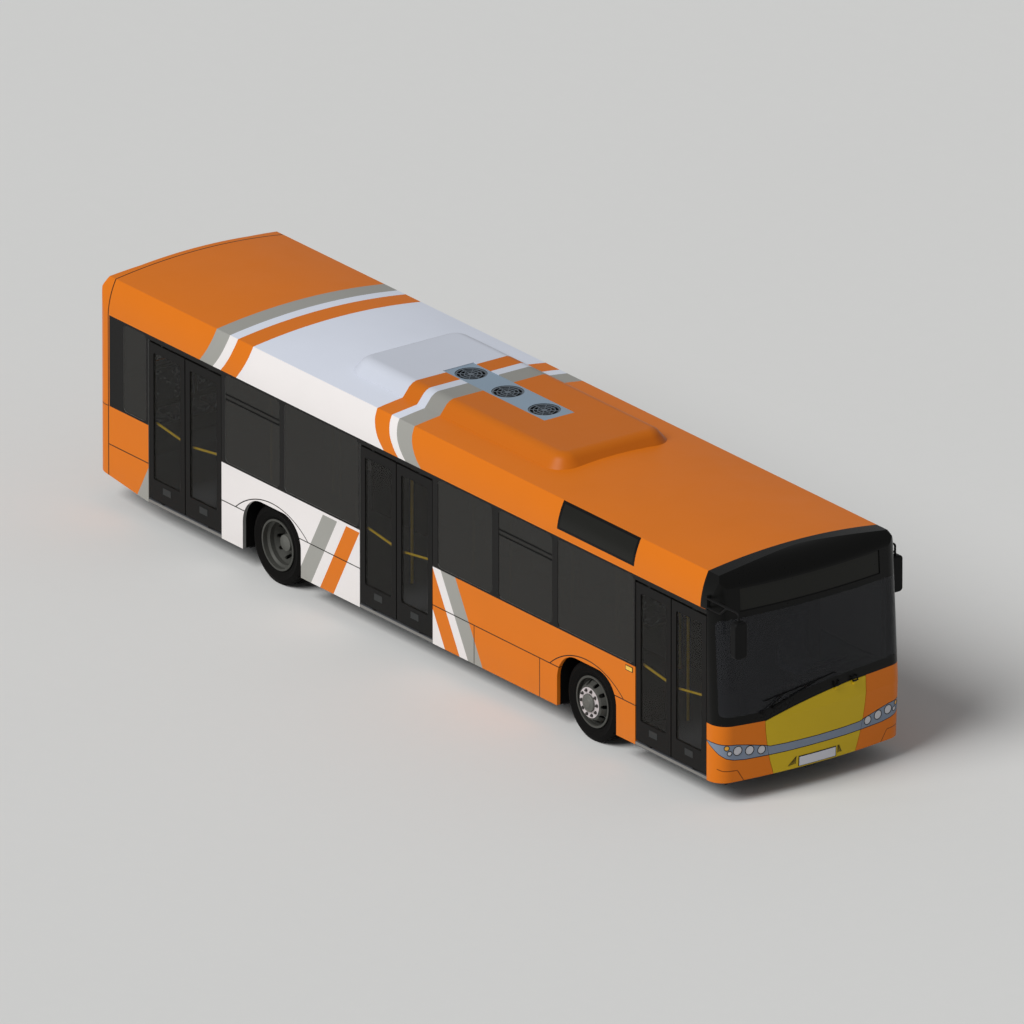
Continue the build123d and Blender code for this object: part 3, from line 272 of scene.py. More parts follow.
def enamel(name, pod=False):
    """Coach enamel with the stripes, band, joints and lining, by place on the bus; the roof top's white is
    painted bluer as sky light, and the roof unit is darkened as painted shade.
    """
    material, tree, shader = bare(name)
    x, y, z, at = place(tree)
    side = calc(tree, "ABSOLUTE", y)
    # stripes above the windows lean back over the cant panel
    lean = calc(tree, "MULTIPLY", calc(tree, "SUBTRACT", 2.69, z), 2.5, clamp=True)
    lean = calc(tree, "MULTIPLY", lean, lean)
    rear = calc(tree, "MULTIPLY_ADD", lean, 0.18, x)
    middle = calc(tree, "MULTIPLY_ADD", lean, -0.26, x)
    # painted sky light: above z 2.69 the same white enamel is painted bluer on the roof top
    white = over(tree, calc(tree, "GREATER_THAN", z, 2.69), ENAMEL_WHITE, srgb(224, 229, 241))
    upper = stripes(tree, ORANGE, rear, ((-3.93, STRIPE_GREY), (-3.68, white), (-3.53, ORANGE), (-3.24, white)))
    upper = stripes(tree, upper, middle, ((-0.90, ORANGE), (-0.63, white), (-0.49, STRIPE_GREY),
                                          (-0.205, ORANGE)))
    # stripes below the windows lean the other way behind the middle door
    low = calc(tree, "SUBTRACT", z, 1.15)
    first = calc(tree, "MULTIPLY_ADD", low, -0.55, x)
    lower = stripes(tree, ORANGE, first, ((-4.83, STRIPE_GREY), (-4.56, ENAMEL_WHITE), (-4.41, ORANGE),
                                          (-4.14, ENAMEL_WHITE)))
    second = calc(tree, "MULTIPLY_ADD", low, -0.553, x)
    lower = stripes(tree, lower, second, ((-1.788, STRIPE_GREY), (-1.520, ENAMEL_WHITE), (-1.350, ORANGE),
                                          (-1.097, ENAMEL_WHITE)))
    edge = both(tree, calc(tree, "GREATER_THAN", z, 1.157), within(tree, x, -3.7, -1.09))
    lower = over(tree, edge, lower, ENAMEL_WHITE)
    third = calc(tree, "MULTIPLY_ADD", low, 0.555, x)
    lower = stripes(tree, lower, third, ((0.018, ORANGE), (0.293, ENAMEL_WHITE), (0.449, STRIPE_GREY),
                                         (0.721, ORANGE)))
    colour = over(tree, calc(tree, "GREATER_THAN", z, BAND_TOP), lower, upper)
    # window band
    flank = calc(tree, "GREATER_THAN", side, FLANK)
    band = both(tree, within(tree, z, BAND_FOOT, BAND_TOP), calc(tree, "GREATER_THAN", x, TAIL_SEAM + 0.02),
                flank)
    colour = over(tree, band, colour, BAND_BLACK)
    gloss = band
    # panel joints and the accent line round each wheel arch
    over_skirt = calc(tree, "GREATER_THAN", z, SKIRT_Z)
    before_tail = calc(tree, "GREATER_THAN", x, TAIL_SEAM)
    joints = [both(tree, flank, calc(tree, "COMPARE", z, SKIRT_Z, 0.006), before_tail),
              calc(tree, "COMPARE", x, TAIL_SEAM, 0.0075),
              both(tree, calc(tree, "COMPARE", z, BAND_FOOT, 0.005), calc(tree, "LESS_THAN", x, TAIL_SEAM))]
    for at_x in (2.277, 1.054):
        upright = calc(tree, "COMPARE", x, at_x, 0.006)
        joints.append(both(tree, flank, upright, calc(tree, "LESS_THAN", z, SKIRT_Z)))
    for axle_x in (FRONT_AXLE, REAR_AXLE):
        across = calc(tree, "SUBTRACT", x, axle_x)
        up = calc(tree, "ADD", z, 0.06)
        away = calc(tree, "SQRT", calc(tree, "MULTIPLY_ADD", across, across, calc(tree, "MULTIPLY", up, up)))
        joints.append(both(tree, flank, calc(tree, "COMPARE", away, 1.0455, 0.006), over_skirt))
    joint = either(tree, *joints)
    if pod:
        # painted shade: the roof unit's whole cover is darkened by 18% toward black
        colour = over(tree, 0.18, colour, (0, 0, 0, 1))
        strip = both(tree, within(tree, x, -0.96, 0.94), calc(tree, "LESS_THAN", side, 0.215),
                     calc(tree, "GREATER_THAN", z, 2.6))
        colour = over(tree, strip, colour, srgb(138, 156, 172))
        well = both(tree, strip, calc(tree, "LESS_THAN", z, 2.8855))
        colour = over(tree, well, colour, srgb(28, 30, 32))
    colour = over(tree, joint, colour, JOINT_DARK)
    # the side display over the front door side: dark glass in a black frame
    if not pod:
        right = calc(tree, "LESS_THAN", y, 0)
        frame_mask = both(tree, within(tree, x, 2.585, 4.015), within(tree, z, 2.372, 2.688), right)
        glass_mask = both(tree, within(tree, x, 2.625, 3.975), within(tree, z, 2.402, 2.658), right)
        colour = over(tree, frame_mask, colour, srgb(14, 14, 14))
        colour = over(tree, glass_mask, colour, srgb(30, 30, 27))
        gloss = either(tree, gloss, frame_mask)
    # inside faces carry the lining
    normal = tree.nodes.new("ShaderNodeTexCoord").outputs["Normal"]
    arm = tree.nodes.new("ShaderNodeVectorMath")
    arm.operation = "SUBTRACT"
    tree.links.new(at, arm.inputs[0])
    arm.inputs[1].default_value = (0, 0, 1.5)
    flat = tree.nodes.new("ShaderNodeVectorMath")
    flat.operation = "MULTIPLY"
    tree.links.new(arm.outputs[0], flat.inputs[0])
    flat.inputs[1].default_value = (0.2, 1, 1)
    facing = tree.nodes.new("ShaderNodeVectorMath")
    facing.operation = "DOT_PRODUCT"
    tree.links.new(normal, facing.inputs[0])
    tree.links.new(flat.outputs[0], facing.inputs[1])
    inside = both(tree, calc(tree, "LESS_THAN", facing.outputs["Value"], -0.02), calc(tree, "LESS_THAN", z, 2.75))
    broad, fine = grain(tree, at, 1.3, 3), grain(tree, at, 90, 2)
    dust = calc(tree, "MULTIPLY", calc(tree, "SUBTRACT", 0.62, z), 1.6, clamp=True)
    dust = calc(tree, "MULTIPLY", calc(tree, "MULTIPLY", dust, grain(tree, at, 5, 5)), 0.22)
    colour = over(tree, dust, colour, srgb(120, 108, 94))
    fade = over(tree, spread(tree, broad, 0.0, 0.07), colour, (0, 0, 0, 1))
    colour = over(tree, inside, fade, LINING)
    tree.links.new(colour, shader.inputs["Base Color"])
    rough = calc(tree, "MULTIPLY_ADD", grain(tree, at, 2.2, 4), 0.14, 0.32)
    rough = calc(tree, "SUBTRACT", rough, calc(tree, "MULTIPLY", gloss, 0.14))
    rough = calc(tree, "ADD", rough, calc(tree, "MULTIPLY", either(tree, inside, dust), 0.35), clamp=True)
    tree.links.new(rough, shader.inputs["Roughness"])
    height = calc(tree, "SUBTRACT", calc(tree, "MULTIPLY", fine, 0.03), joint)
    tree.links.new(relief(tree, height, 0.003, 0.6), shader.inputs["Normal"])
    shader.inputs["Specular IOR Level"].default_value = 0.14
    return material


dress(("side_wall_right", "side_wall_left", "roof_shell", "rear_wall", "engine_lid"), enamel("coach_enamel"))

# ------------------------------------------------------------------ roof unit
# Moulded cover of the cooling unit on the roof, painted with the roof. A blue-grey tray runs along
# its top with three fan wells under wire guards; each fan is a pressed disc with five blades.
# The roof unit's enamel is darkened all over as painted shade.
dress(("roof_pod",), enamel("pod_enamel_painted_shade", pod=True))
guard_paint = finish("guard_grey", srgb(96, 104, 112), rough=(0.4, 0.6), scale=60)
dress(("fan_grilles",), guard_paint)
blade_black = finish("fan_black", srgb(30, 31, 33), rough=(0.4, 0.6), scale=60)
boss_r, boss_sides, blades = 0.035, 16, 5
verts, faces = [], []
for fan_x in (-0.72, -0.032, 0.65):
    base = len(verts)
    verts += [(fan_x + boss_r * math.cos(a), boss_r * math.sin(a), h) for h in (2.838, 2.862)
              for a in [i * math.tau / boss_sides for i in range(boss_sides)]]
    for i in range(boss_sides):
        after = (i + 1) % boss_sides
        faces.append((base + i, base + after, base + boss_sides + after, base + boss_sides + i))
    faces.append(tuple(base + boss_sides + i for i in range(boss_sides)))
    for k in range(blades):
        start = len(verts)
        for j in range(7):
            r = 0.033 + 0.135 * j / 6
            wide, tilt = 0.028 + 0.03 * j / 6, 0.6 - 0.25 * j / 6
            a = k * math.tau / blades + 0.25 * (j / 6) ** 2
            for s in (-1, 1):
                off = s * wide
                px = r * math.cos(a) - off * math.sin(a) * math.cos(tilt)
                py = r * math.sin(a) + off * math.cos(a) * math.cos(tilt)
                verts.append((fan_x + px, py, 2.851 + off * math.sin(tilt) * 0.35))
        faces += [(start + 2 * j, start + 2 * j + 1, start + 2 * j + 3, start + 2 * j + 2) for j in range(6)]
fans = new_piece("roof_fans", verts, faces, blade_black)
thick = fans.modifiers.new("thickness", "SOLIDIFY")
thick.thickness = 0.002
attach(fans, "body")

# ------------------------------------------------------------------ glazing
# Toughened panes bonded flush in the black band. The side panes are dark tinted, the windscreen is
# laminated and clearer; two side windows have an opening top light with a dark double bar.


def pane(name, colour, cover, rough=0.03):
    """Tinted pane: it covers the given share of what is behind each face."""
    material, tree, shader = bare(name)
    at = place(tree)[3]
    film = grain(tree, at, 1.7, 4)
    dark = tuple(c * 0.85 for c in colour[:3]) + (1,)
    tree.links.new(over(tree, film, dark, colour), shader.inputs["Base Color"])
    tree.links.new(spread(tree, film, rough, rough + 0.05), shader.inputs["Roughness"])
    tree.links.new(relief(tree, grain(tree, at, 0.9, 1), 0.0015, 0.25), shader.inputs["Normal"])
    shader.inputs["Alpha"].default_value = cover
    shader.inputs["Specular IOR Level"].default_value = 0.22
    return material


dress(("saloon_glass",), pane("tinted_pane", srgb(43, 42, 39), 0.8))
dress(("windscreen",), pane("laminated_pane", srgb(40, 41, 44), 0.62))
rubber = finish("window_rubber", srgb(12, 12, 12), rough=(0.5, 0.7), scale=80, shine=0.1)


def boxes(name, spans, material, body, bevel=0.0):
    """Piece made of rectangular bars, each as low and high X, Y and Z, with rounded edges."""
    verts, faces = [], []
    sides = ((0, 1, 3, 2), (4, 6, 7, 5), (0, 4, 5, 1), (2, 3, 7, 6), (0, 2, 6, 4), (1, 5, 7, 3))
    for x0, x1, y0, y1, z0, z1 in spans:
        b = len(verts)
        verts += [(x, y, z) for x in (x0, x1) for y in (y0, y1) for z in (z0, z1)]
        faces += [tuple(b + i for i in f) for f in sides]
    piece = new_piece(name, verts, faces, material, smooth=False)
    if bevel:
        round_off = piece.modifiers.new("edges", "BEVEL")
        round_off.width, round_off.segments, round_off.limit_method = bevel, 2, "ANGLE"
        round_off.harden_normals = True
    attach(piece, body)
    return piece


hopper = []
for side, spans in ((-1, ((-3.625, -2.605), (1.515, 2.505))), (1, ((-2.635, -1.275), (1.745, 3.105)))):
    y0, y1 = sorted((side * 1.2712, side * 1.2742))
    for x0, x1 in spans:
        for z0, z1 in ((1.958, 1.978), (2.018, 2.038)):
            hopper.append((x0, x1, y0, y1, z0, z1))
boxes("hopper_bars", hopper, rubber, "body", 0.0012)

# ------------------------------------------------------------------ doors
# Six folding leaves in black frames with tinted panes. Each leaf turns on a black post; a yellow
# tube inside it is the handrail. Grey sills run under the doorways, header trim above them.
leaf_paint = finish("leaf_black", srgb(20, 19, 18), rough=(0.28, 0.42), scale=12, depth=0.0001, shine=0.1)
tree = leaf_paint.node_tree
shader = tree.nodes["Principled BSDF"]
x, y, z, at = place(tree)
tube = calc(tree, "GREATER_THAN", y, -1.2345)
under = shader.inputs["Base Color"].links[0].from_socket
tree.links.new(over(tree, tube, under, srgb(226, 188, 40)), shader.inputs["Base Color"])
post_black = finish("post_black", srgb(22, 22, 22), rough=(0.35, 0.5), scale=20, shine=0.1)
names = [d + "_" + l for d in ("rear", "middle", "front") for l in "ab"]
dress(["door_leaf_" + n for n in names], leaf_paint)
dress(["door_glass_" + n for n in names], pane("door_pane", srgb(46, 45, 42), 0.3))
dress(["door_post_" + n for n in names], post_black)
dress(("door_headers",), finish("header_grey", srgb(120, 121, 122), rough=(0.4, 0.6)))
sill_grey = finish("sill_aluminium", srgb(132, 130, 126), rough=(0.35, 0.55), scale=60, metal=0.3,
                   stretch=(0.1, 1, 1))
doorways = (("rear", -4.395, 1.39), ("middle", -0.405, 1.37), ("front", 4.710, 1.32))  # middle X and width
sills = [(x - w / 2 + 0.003, x + w / 2 - 0.003, -1.2748, -1.262, 0.268, 0.302) for _, x, w in doorways]
boxes("door_sills", sills, sill_grey, "body", 0.002)
plate_grey = finish("step_lamp_grey", srgb(40, 42, 42), rough=(0.3, 0.5), scale=60)
for door, x, w in doorways:
    for leaf, sign in (("a", -1), ("b", 1)):
        mid = x + sign * (w / 4)
        spans = [(mid - 0.075, mid + 0.075, -1.2745, -1.272, 0.440, 0.518)]
        boxes("leaf_plate_" + door + "_" + leaf, spans, plate_grey, "door_leaf_" + door + "_" + leaf, 0.001)

# ------------------------------------------------------------------ front
# A black glass-fibre mask round the windscreen and displays, orange corner panels, and a yellow
# flap hinged at the top. A blue-grey lamp band crosses corners and flap, with round lamps in it.


KNEE_X, KNEE_Z = 5.715, 0.935                           # foremost point, where the rake changes
BOW_RADIUS, BOW_HALF = 7.7417, 1.1035                   # bowed front, and its half length along the outline
CORNER_R, CORNER_Y, CORNER_TURN = 0.2, 1.075, math.radians(8.2)


def nose_x(z):
    """Foremost X of the raked front at a height."""
    return KNEE_X - (80 / 1265) * (z - KNEE_Z) if z > KNEE_Z else KNEE_X - 0.0523 * (KNEE_Z - z)


def front_point(s, z, lift=0.0):
    """Point on the bowed front, s along its outline from the centre plane, lifted off it."""
    sign, a, n = (-1 if s < 0 else 1), abs(s), nose_x(z)
    if a <= BOW_HALF:
        tilt = math.asin(a / BOW_RADIUS)
        px, py = n - BOW_RADIUS * (1 - math.cos(tilt)), a
    else:
        tilt = min(CORNER_TURN + (a - BOW_HALF) / CORNER_R, math.pi / 2)
        px, py = n - 0.277 + CORNER_R * math.cos(tilt), CORNER_Y + CORNER_R * math.sin(tilt)
    return Vector((px + lift * math.cos(tilt), sign * (py + lift * math.sin(tilt)), z))


def lamp_band(tree, x, y, z):
    """Masks of the lamp band, of the dark lines along it, and of the crease in the bumper, whose colour is
    painted shade.
    """
    side = calc(tree, "ABSOLUTE", y)
    around = calc(tree, "ARCTAN2", calc(tree, "SUBTRACT", side, CORNER_Y), calc(tree, "SUBTRACT", x, 5.4205))
    around = calc(tree, "MAXIMUM", calc(tree, "SUBTRACT", around, CORNER_TURN), 0.0)
    s = calc(tree, "MULTIPLY_ADD", around, CORNER_R, calc(tree, "MINIMUM", side, BOW_HALF))
    top = broken_line(tree, s, ((0, 0.598), (0.41, 0.603), (0.62, 0.611), (0.69, 0.634), (0.80, 0.659),
                                (0.90, 0.683), (1.05, 0.712), (1.157, 0.722), (1.25, 0.731), (1.32, 0.741),
                                (1.45, 0.746)))
    foot = broken_line(tree, s, ((0, 0.501), (0.41, 0.502), (0.63, 0.507), (0.80, 0.512), (0.95, 0.516),
                                 (1.08, 0.533), (1.18, 0.562), (1.26, 0.611), (1.328, 0.668), (1.45, 0.744)))
    band = both(tree, calc(tree, "LESS_THAN", z, top), calc(tree, "GREATER_THAN", z, foot),
                calc(tree, "LESS_THAN", s, 1.452))
    edge = either(tree, calc(tree, "COMPARE", z, top, 0.0045), calc(tree, "COMPARE", z, foot, 0.0045))
    edge = both(tree, edge, calc(tree, "LESS_THAN", s, 1.46))
    level = broken_line(tree, s, ((1.034, 0.401), (1.215, 0.410), (1.28, 0.432)))
    crease_shade = both(tree, calc(tree, "COMPARE", z, level, 0.005), within(tree, s, 1.034, 1.285))
    slant = calc(tree, "SUBTRACT", calc(tree, "MULTIPLY", calc(tree, "SUBTRACT", s, 1.034), 0.845),
                 calc(tree, "MULTIPLY", calc(tree, "SUBTRACT", z, 0.401), 0.535))
    corner = both(tree, calc(tree, "COMPARE", slant, 0.0, 0.005), calc(tree, "LESS_THAN", z, 0.401))
    crease_shade = either(tree, crease_shade, corner)
    return band, edge, crease_shade


def front_enamel(name, paint, paints_crease_shade):
    """Enamel of the lower front with the lamp band across it; on the orange, the bumper's crease is painted
    shade, a darker orange.
    """
    material, tree, shader = bare(name)
    x, y, z, at = place(tree)
    band, edge, crease_shade = lamp_band(tree, x, y, z)
    colour = over(tree, band, paint, srgb(128, 139, 157))
    line = edge
    if paints_crease_shade:
        # painted shade: the bumper's crease is coloured a darker orange
        colour = over(tree, crease_shade, colour, srgb(120, 58, 10))
        line = either(tree, edge, calc(tree, "MULTIPLY", crease_shade, 0.6))
    colour = over(tree, edge, colour, srgb(30, 30, 34))
    barrel = both(tree, calc(tree, "GREATER_THAN", z, 1.125), calc(tree, "GREATER_THAN", x, 5.712))
    colour = over(tree, barrel, colour, srgb(20, 20, 20))
    broad = grain(tree, at, 1.6, 3)
    colour = over(tree, spread(tree, broad, 0.0, 0.07), colour, (0, 0, 0, 1))
    tree.links.new(colour, shader.inputs["Base Color"])
    rough = calc(tree, "MULTIPLY_ADD", grain(tree, at, 2.6, 4), 0.14, 0.28)
    tree.links.new(rough, shader.inputs["Roughness"])
    height = calc(tree, "SUBTRACT", calc(tree, "MULTIPLY", grain(tree, at, 90, 2), 0.03), line)
    tree.links.new(relief(tree, height, 0.003, 0.6), shader.inputs["Normal"])
    shader.inputs["Specular IOR Level"].default_value = 0.14
    return material


dress(("front_lower",), front_enamel("front_orange", ORANGE, True))
dress(("front_flap",), front_enamel("flap_yellow", srgb(206, 175, 33), False))

mask_black = finish("mask_gloss_black", srgb(15, 15, 14), rough=(0.22, 0.36), scale=6, depth=0.0001, shine=0.12)
tree = mask_black.node_tree
shader = tree.nodes["Principled BSDF"]
x, y, z, at = place(tree)
sign_glass = both(tree, calc(tree, "LESS_THAN", calc(tree, "ABSOLUTE", y), 0.955), within(tree, z, 2.268, 2.517),
                  calc(tree, "GREATER_THAN", x, 5.5))
under = shader.inputs["Base Color"].links[0].from_socket
tree.links.new(over(tree, sign_glass, under, srgb(34, 34, 31)), shader.inputs["Base Color"])
dress(("front_mask",), mask_black)
dress(("wiper",), finish("wiper_black", srgb(10, 10, 10), rough=(0.5, 0.7), scale=80, shine=0.1))


def ring_on_front(rows, s, z, inner, outer, lift):
    """Add a raised ring round a lamp, lying on the bowed front."""
    verts, faces = rows
    b, n = len(verts), 40
    for i in range(n):
        a = i * math.tau / n
        for r, h in ((inner, -0.001), (inner, lift), (outer, lift), (outer, -0.001)):
            verts.append(front_point(s + r * math.cos(a), z + r * math.sin(a), h))
        near, far = b + 4 * i, b + 4 * ((i + 1) % n)
        faces += [(near + k, far + k, far + k + 1, near + k + 1) for k in range(3)]


ring_black = finish("bezel_black", srgb(16, 16, 18), rough=(0.3, 0.45), scale=70)
rows = ([], [])
lamps_at = ((1.041, 0.639, 0.050), (0.888, 0.616, 0.050), (0.735, 0.592, 0.046), (1.139, 0.622, 0.023),
            (1.174, 0.687, 0.025))                      # place along the outline, height and radius
for s, z, r in lamps_at:
    for sign in (-1, 1):
        ring_on_front(rows, sign * s, z, r + 0.0005, r + 0.008, 0.003)
bezels = new_piece("lamp_bezels", rows[0], rows[1], ring_black)
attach(bezels, "body")

lens, tree, shader = bare("lamp_lens")
x, y, z, at = place(tree)
side = calc(tree, "ABSOLUTE", y)
flutes = tree.nodes.new("ShaderNodeTexWave")
flutes.inputs["Scale"].default_value, flutes.inputs["Distortion"].default_value = 22, 0.5
flutes.bands_direction = "Y"
tree.links.new(at, flutes.inputs["Vector"])
colour = over(tree, flutes.outputs["Fac"], srgb(176, 174, 180), srgb(206, 206, 212))
amber = both(tree, calc(tree, "GREATER_THAN", x, 0), calc(tree, "GREATER_THAN", side, 1.135),
             calc(tree, "GREATER_THAN", z, 0.655))
colour = over(tree, amber, colour, srgb(226, 160, 20))
rear_side = calc(tree, "LESS_THAN", x, 0)
colour = over(tree, rear_side, colour, srgb(176, 18, 14))
colour = over(tree, both(tree, rear_side, calc(tree, "GREATER_THAN", z, 0.74)), colour, srgb(226, 130, 20))
tree.links.new(colour, shader.inputs["Base Color"])
tree.links.new(spread(tree, grain(tree, at, 60, 2), 0.08, 0.2), shader.inputs["Roughness"])
tree.links.new(relief(tree, flutes.outputs["Fac"], 0.0006, 0.5), shader.inputs["Normal"])
shader.inputs["Coat Weight"].default_value = 0.6
shader.inputs["Coat Roughness"].default_value = 0.05
dress(("lamps",), lens)


def patch_on_front(name, corners, depth, material, body, steps=10):
    """Thin four-sided plate that follows the bowed front; corners go round as s and z."""
    bm = bmesh.new()
    grid = []
    for j in range(2):
        for i in range(steps + 1):
            t = i / steps
            low = Vector(corners[0]).lerp(Vector(corners[1]), t)
            high = Vector(corners[3]).lerp(Vector(corners[2]), t)
            s, z = low.lerp(high, j)
            grid.append([bm.verts.new(front_point(s, z, h)) for h in (-0.001, depth)])
    cols = steps + 1
    for i in range(steps):
        a, b, c, d = grid[i], grid[i + 1], grid[cols + i + 1], grid[cols + i]
        bm.faces.new((a[1], b[1], c[1], d[1]))
        bm.faces.new((a[0], d[0], c[0], b[0]))
        bm.faces.new((a[0], b[0], b[1], a[1]))
        bm.faces.new((d[0], d[1], c[1], c[0]))
    for i in (0, steps):
        a, d = grid[i], grid[cols + i]
        bm.faces.new((a[0], a[1], d[1], d[0]) if i == 0 else (a[0], d[0], d[1], a[1]))
    bmesh.ops.recalc_face_normals(bm, faces=bm.faces)
    mesh = bpy.data.meshes.new(name)
    bm.to_mesh(mesh)
    bm.free()
    mesh.materials.append(material)
    piece = bpy.data.objects.new(name, mesh)
    scene.collection.objects.link(piece)
    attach(piece, body)
    return piece


plate_white = finish("blank_plate", srgb(206, 206, 214), rough=(0.3, 0.45), scale=30, shade=0.05)
holder_black = finish("plate_holder", srgb(22, 22, 22), rough=(0.5, 0.7), scale=60)
patch_on_front("plate_holder", ((-0.236, 0.279), (0.284, 0.279), (0.284, 0.402), (-0.236, 0.402)), 0.004,
               holder_black, "front_flap")
patch_on_front("number_plate_blank", ((-0.226, 0.286), (0.274, 0.286), (0.274, 0.391), (-0.226, 0.391)), 0.0065,
               plate_white, "front_flap")
for side, corners in (("right", ((-0.382, 0.309), (-0.265, 0.322), (-0.265, 0.410), (-0.275, 0.405))),
                      ("left", ((0.305, 0.313), (0.372, 0.318), (0.330, 0.405), (0.305, 0.405)))):
    near_low, far_low, far_top, near_top = (Vector(corner) for corner in corners)
    for k in range(6):
        f0, f1 = k / 6, k / 6 + 0.075
        slat = (near_low.lerp(far_low, f0), near_low.lerp(far_low, f1), near_top.lerp(far_top, f1),
                near_top.lerp(far_top, f0))
        patch_on_front("grille_slat_" + side + "_" + str(k), slat, 0.002, holder_black, "front_flap", 1)

# ------------------------------------------------------------------ side lamps and rear fittings
# Small amber repeaters in black surrounds on both flanks, bezels round the rear lamps, a blank rear
# plate and pressed louvres on the engine lid.
amber_lens = finish("amber_lens", srgb(236, 190, 70), rough=(0.1, 0.25), scale=40, coat=0.5)
for side, sign in (("right", -1), ("left", 1)):
    y0, y1 = sorted((sign * 1.274, sign * 1.278))
    boxes("repeater_surround_" + side, [(3.872, 4.008, y0, y1, 1.102, 1.166)], ring_black, "body", 0.0015)
    y0, y1 = sorted((sign * 1.276, sign * 1.2815))
    boxes("repeater_lens_" + side, [(3.882, 3.998, y0, y1, 1.111, 1.157)], amber_lens, "body", 0.002)
louvre_black = finish("louvre_black", srgb(28, 28, 28), rough=(0.45, 0.6), scale=60)
tail_x = -6.08
slat_feet = [0.52 + 0.026 * i for i in range(12)]
slats = [(tail_x - 0.004, tail_x + 0.001, -0.62, 0.62, z0, z0 + 0.012) for z0 in slat_feet]
boxes("lid_louvres", slats, louvre_black, "engine_lid", 0.001)
plate_back = (tail_x - 0.004, tail_x + 0.001, -0.27, 0.27, 0.892, 1.018)
boxes("rear_plate_holder", [plate_back], holder_black, "engine_lid", 0.001)
plate = (tail_x - 0.0065, tail_x - 0.003, -0.26, 0.26, 0.90, 1.01)
boxes("rear_plate_blank", [plate], plate_white, "engine_lid", 0.001)
handles = [(tail_x - 0.012, tail_x + 0.001, y - 0.05, y + 0.05, 0.462, 0.484) for y in (-0.5, 0.5)]
boxes("lid_handles", handles, louvre_black, "engine_lid", 0.004)
verts, faces = [], []
for y in (-0.96, 0.96):
    for z in (0.56, 0.68, 0.80):
        b, n = len(verts), 40
        for i in range(n):
            a = i * math.tau / n
            for r, h in ((0.0505, -0.001), (0.0505, 0.004), (0.058, 0.004), (0.058, -0.001)):
                verts.append((tail_x - h, y + r * math.cos(a), z + r * math.sin(a)))
            near, far = b + 4 * i, b + 4 * ((i + 1) % n)
            faces += [(near + k, near + k + 1, far + k + 1, far + k) for k in range(3)]
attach(new_piece("rear_bezels", verts, faces, ring_black), "body")
edge_lamps = [(-6.066, -6.05, y - 0.05, y + 0.05, 2.352, 2.378) for y in (-0.9, 0.9)]
boxes("roof_edge_lamps", edge_lamps, amber_lens, "body", 0.003)

# ------------------------------------------------------------------ mirrors
# Black grained housings on bent steel tubes. Each mirror is silvered glass let into the back of its
# housing, the large one above a wide-angle one.
mirror_black = finish("mirror_black", srgb(15, 15, 15), rough=(0.45, 0.62), scale=90, depth=0.0004, shine=0.12)
dress(("mirrors",), mirror_black)
silvered, tree, shader = bare("silvered_glass")
at = place(tree)[3]
silver = over(tree, grain(tree, at, 12, 2), srgb(196, 201, 205), srgb(222, 226, 229))
tree.links.new(silver, shader.inputs["Base Color"])
tree.links.new(spread(tree, grain(tree, at, 30, 2), 0.02, 0.06), shader.inputs["Roughness"])
shader.inputs["Metallic"].default_value = 1.0
for side, (mx, my, mz, wide) in (("right", (5.943, -1.292, 2.13, 0.17)), ("left", (5.283, 1.36, 2.09, 0.16))):
    w = wide / 2 - 0.014
    glasses = [(mx - 0.0015, mx + 0.002, my - w, my + w, mz + low, mz + high)
               for low, high in ((-0.065, 0.195), (-0.195, -0.078))]
    boxes("mirror_glass_" + side, glasses, silvered, "body", 0.001)

# ------------------------------------------------------------------ tyres
# Road tyres of black rubber on 22.5 inch rims: three grooves round the tread, cross cuts that meet
# them in turn on each half, ribbed shoulders and a stepped side wall.


def tyre_into(verts, faces, centre, pitches=36):
    """One tyre's skin round the Y axis through its centre."""
    half = [(0.290, 0.090), (0.292, 0.095), (0.300, 0.0995), (0.306, 0.1025), (0.309, 0.1000), (0.334, 0.1120),
            (0.337, 0.1145), (0.343, 0.1160), (0.346, 0.1140), (0.372, 0.1240), (0.398, 0.1350), (0.401, 0.1350),
            (0.414, 0.1290), (0.430, 0.1210), (0.446, 0.1130), (0.456, 0.1070), (0.462, 0.1000), (0.465, 0.0900),
            (0.465, 0.0680), (0.456, 0.0655), (0.456, 0.0590), (0.465, 0.0565), (0.465, 0.0125), (0.456, 0.0100)]
    profile = half + [(r, -w) for r, w in reversed(half)]
    cuts = (0.0, 0.012, 0.148, 0.16, 0.33, 0.5, 0.512, 0.648, 0.66, 0.83)
    deep = {1: {0.012, 0.148}, -1: {0.512, 0.648}}
    base, n, m = len(verts), pitches * len(cuts), len(profile)
    for p in range(pitches):
        for f in cuts:
            a = (p + f) * math.tau / pitches
            for r, w in profile:
                if r > 0.4565 and f in deep[1 if w > 0 else -1]:
                    r -= 0.007
                elif 0.44 < r < 0.4562 and abs(w) > 0.1 and f in deep[1 if w > 0 else -1]:
                    r -= 0.004
                verts.append((centre[0] + r * math.cos(a), centre[1] + w, centre[2] + r * math.sin(a)))
    for i in range(n):
        a, b = base + i * m, base + ((i + 1) % n) * m
        faces.extend((a + k, a + (k + 1) % m, b + (k + 1) % m, b + k) for k in range(m))


tread = finish("tyre_rubber", srgb(13, 12, 11), rough=(0.72, 0.92), scale=55, depth=0.0006, shade=0.3, shine=0.1)
outer_y, inner_y = 1.078, 0.763                         # middle planes of the outer and the inner tyre
for body, x, ys in (("wheel_front_left", FRONT_AXLE, (outer_y,)),
                    ("wheel_front_right", FRONT_AXLE, (-outer_y,)),
                    ("wheels_rear_left", REAR_AXLE, (outer_y, inner_y)),
                    ("wheels_rear_right", REAR_AXLE, (-outer_y, -inner_y))):
    verts, faces = [], []
    for y in ys:
        tyre_into(verts, faces, (x, y, WHEEL_Z))
    piece = new_piece("tread_" + body, verts, faces, tread, smooth=False)
    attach(piece, body)
    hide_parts(body.replace("wheel", "tyre"))

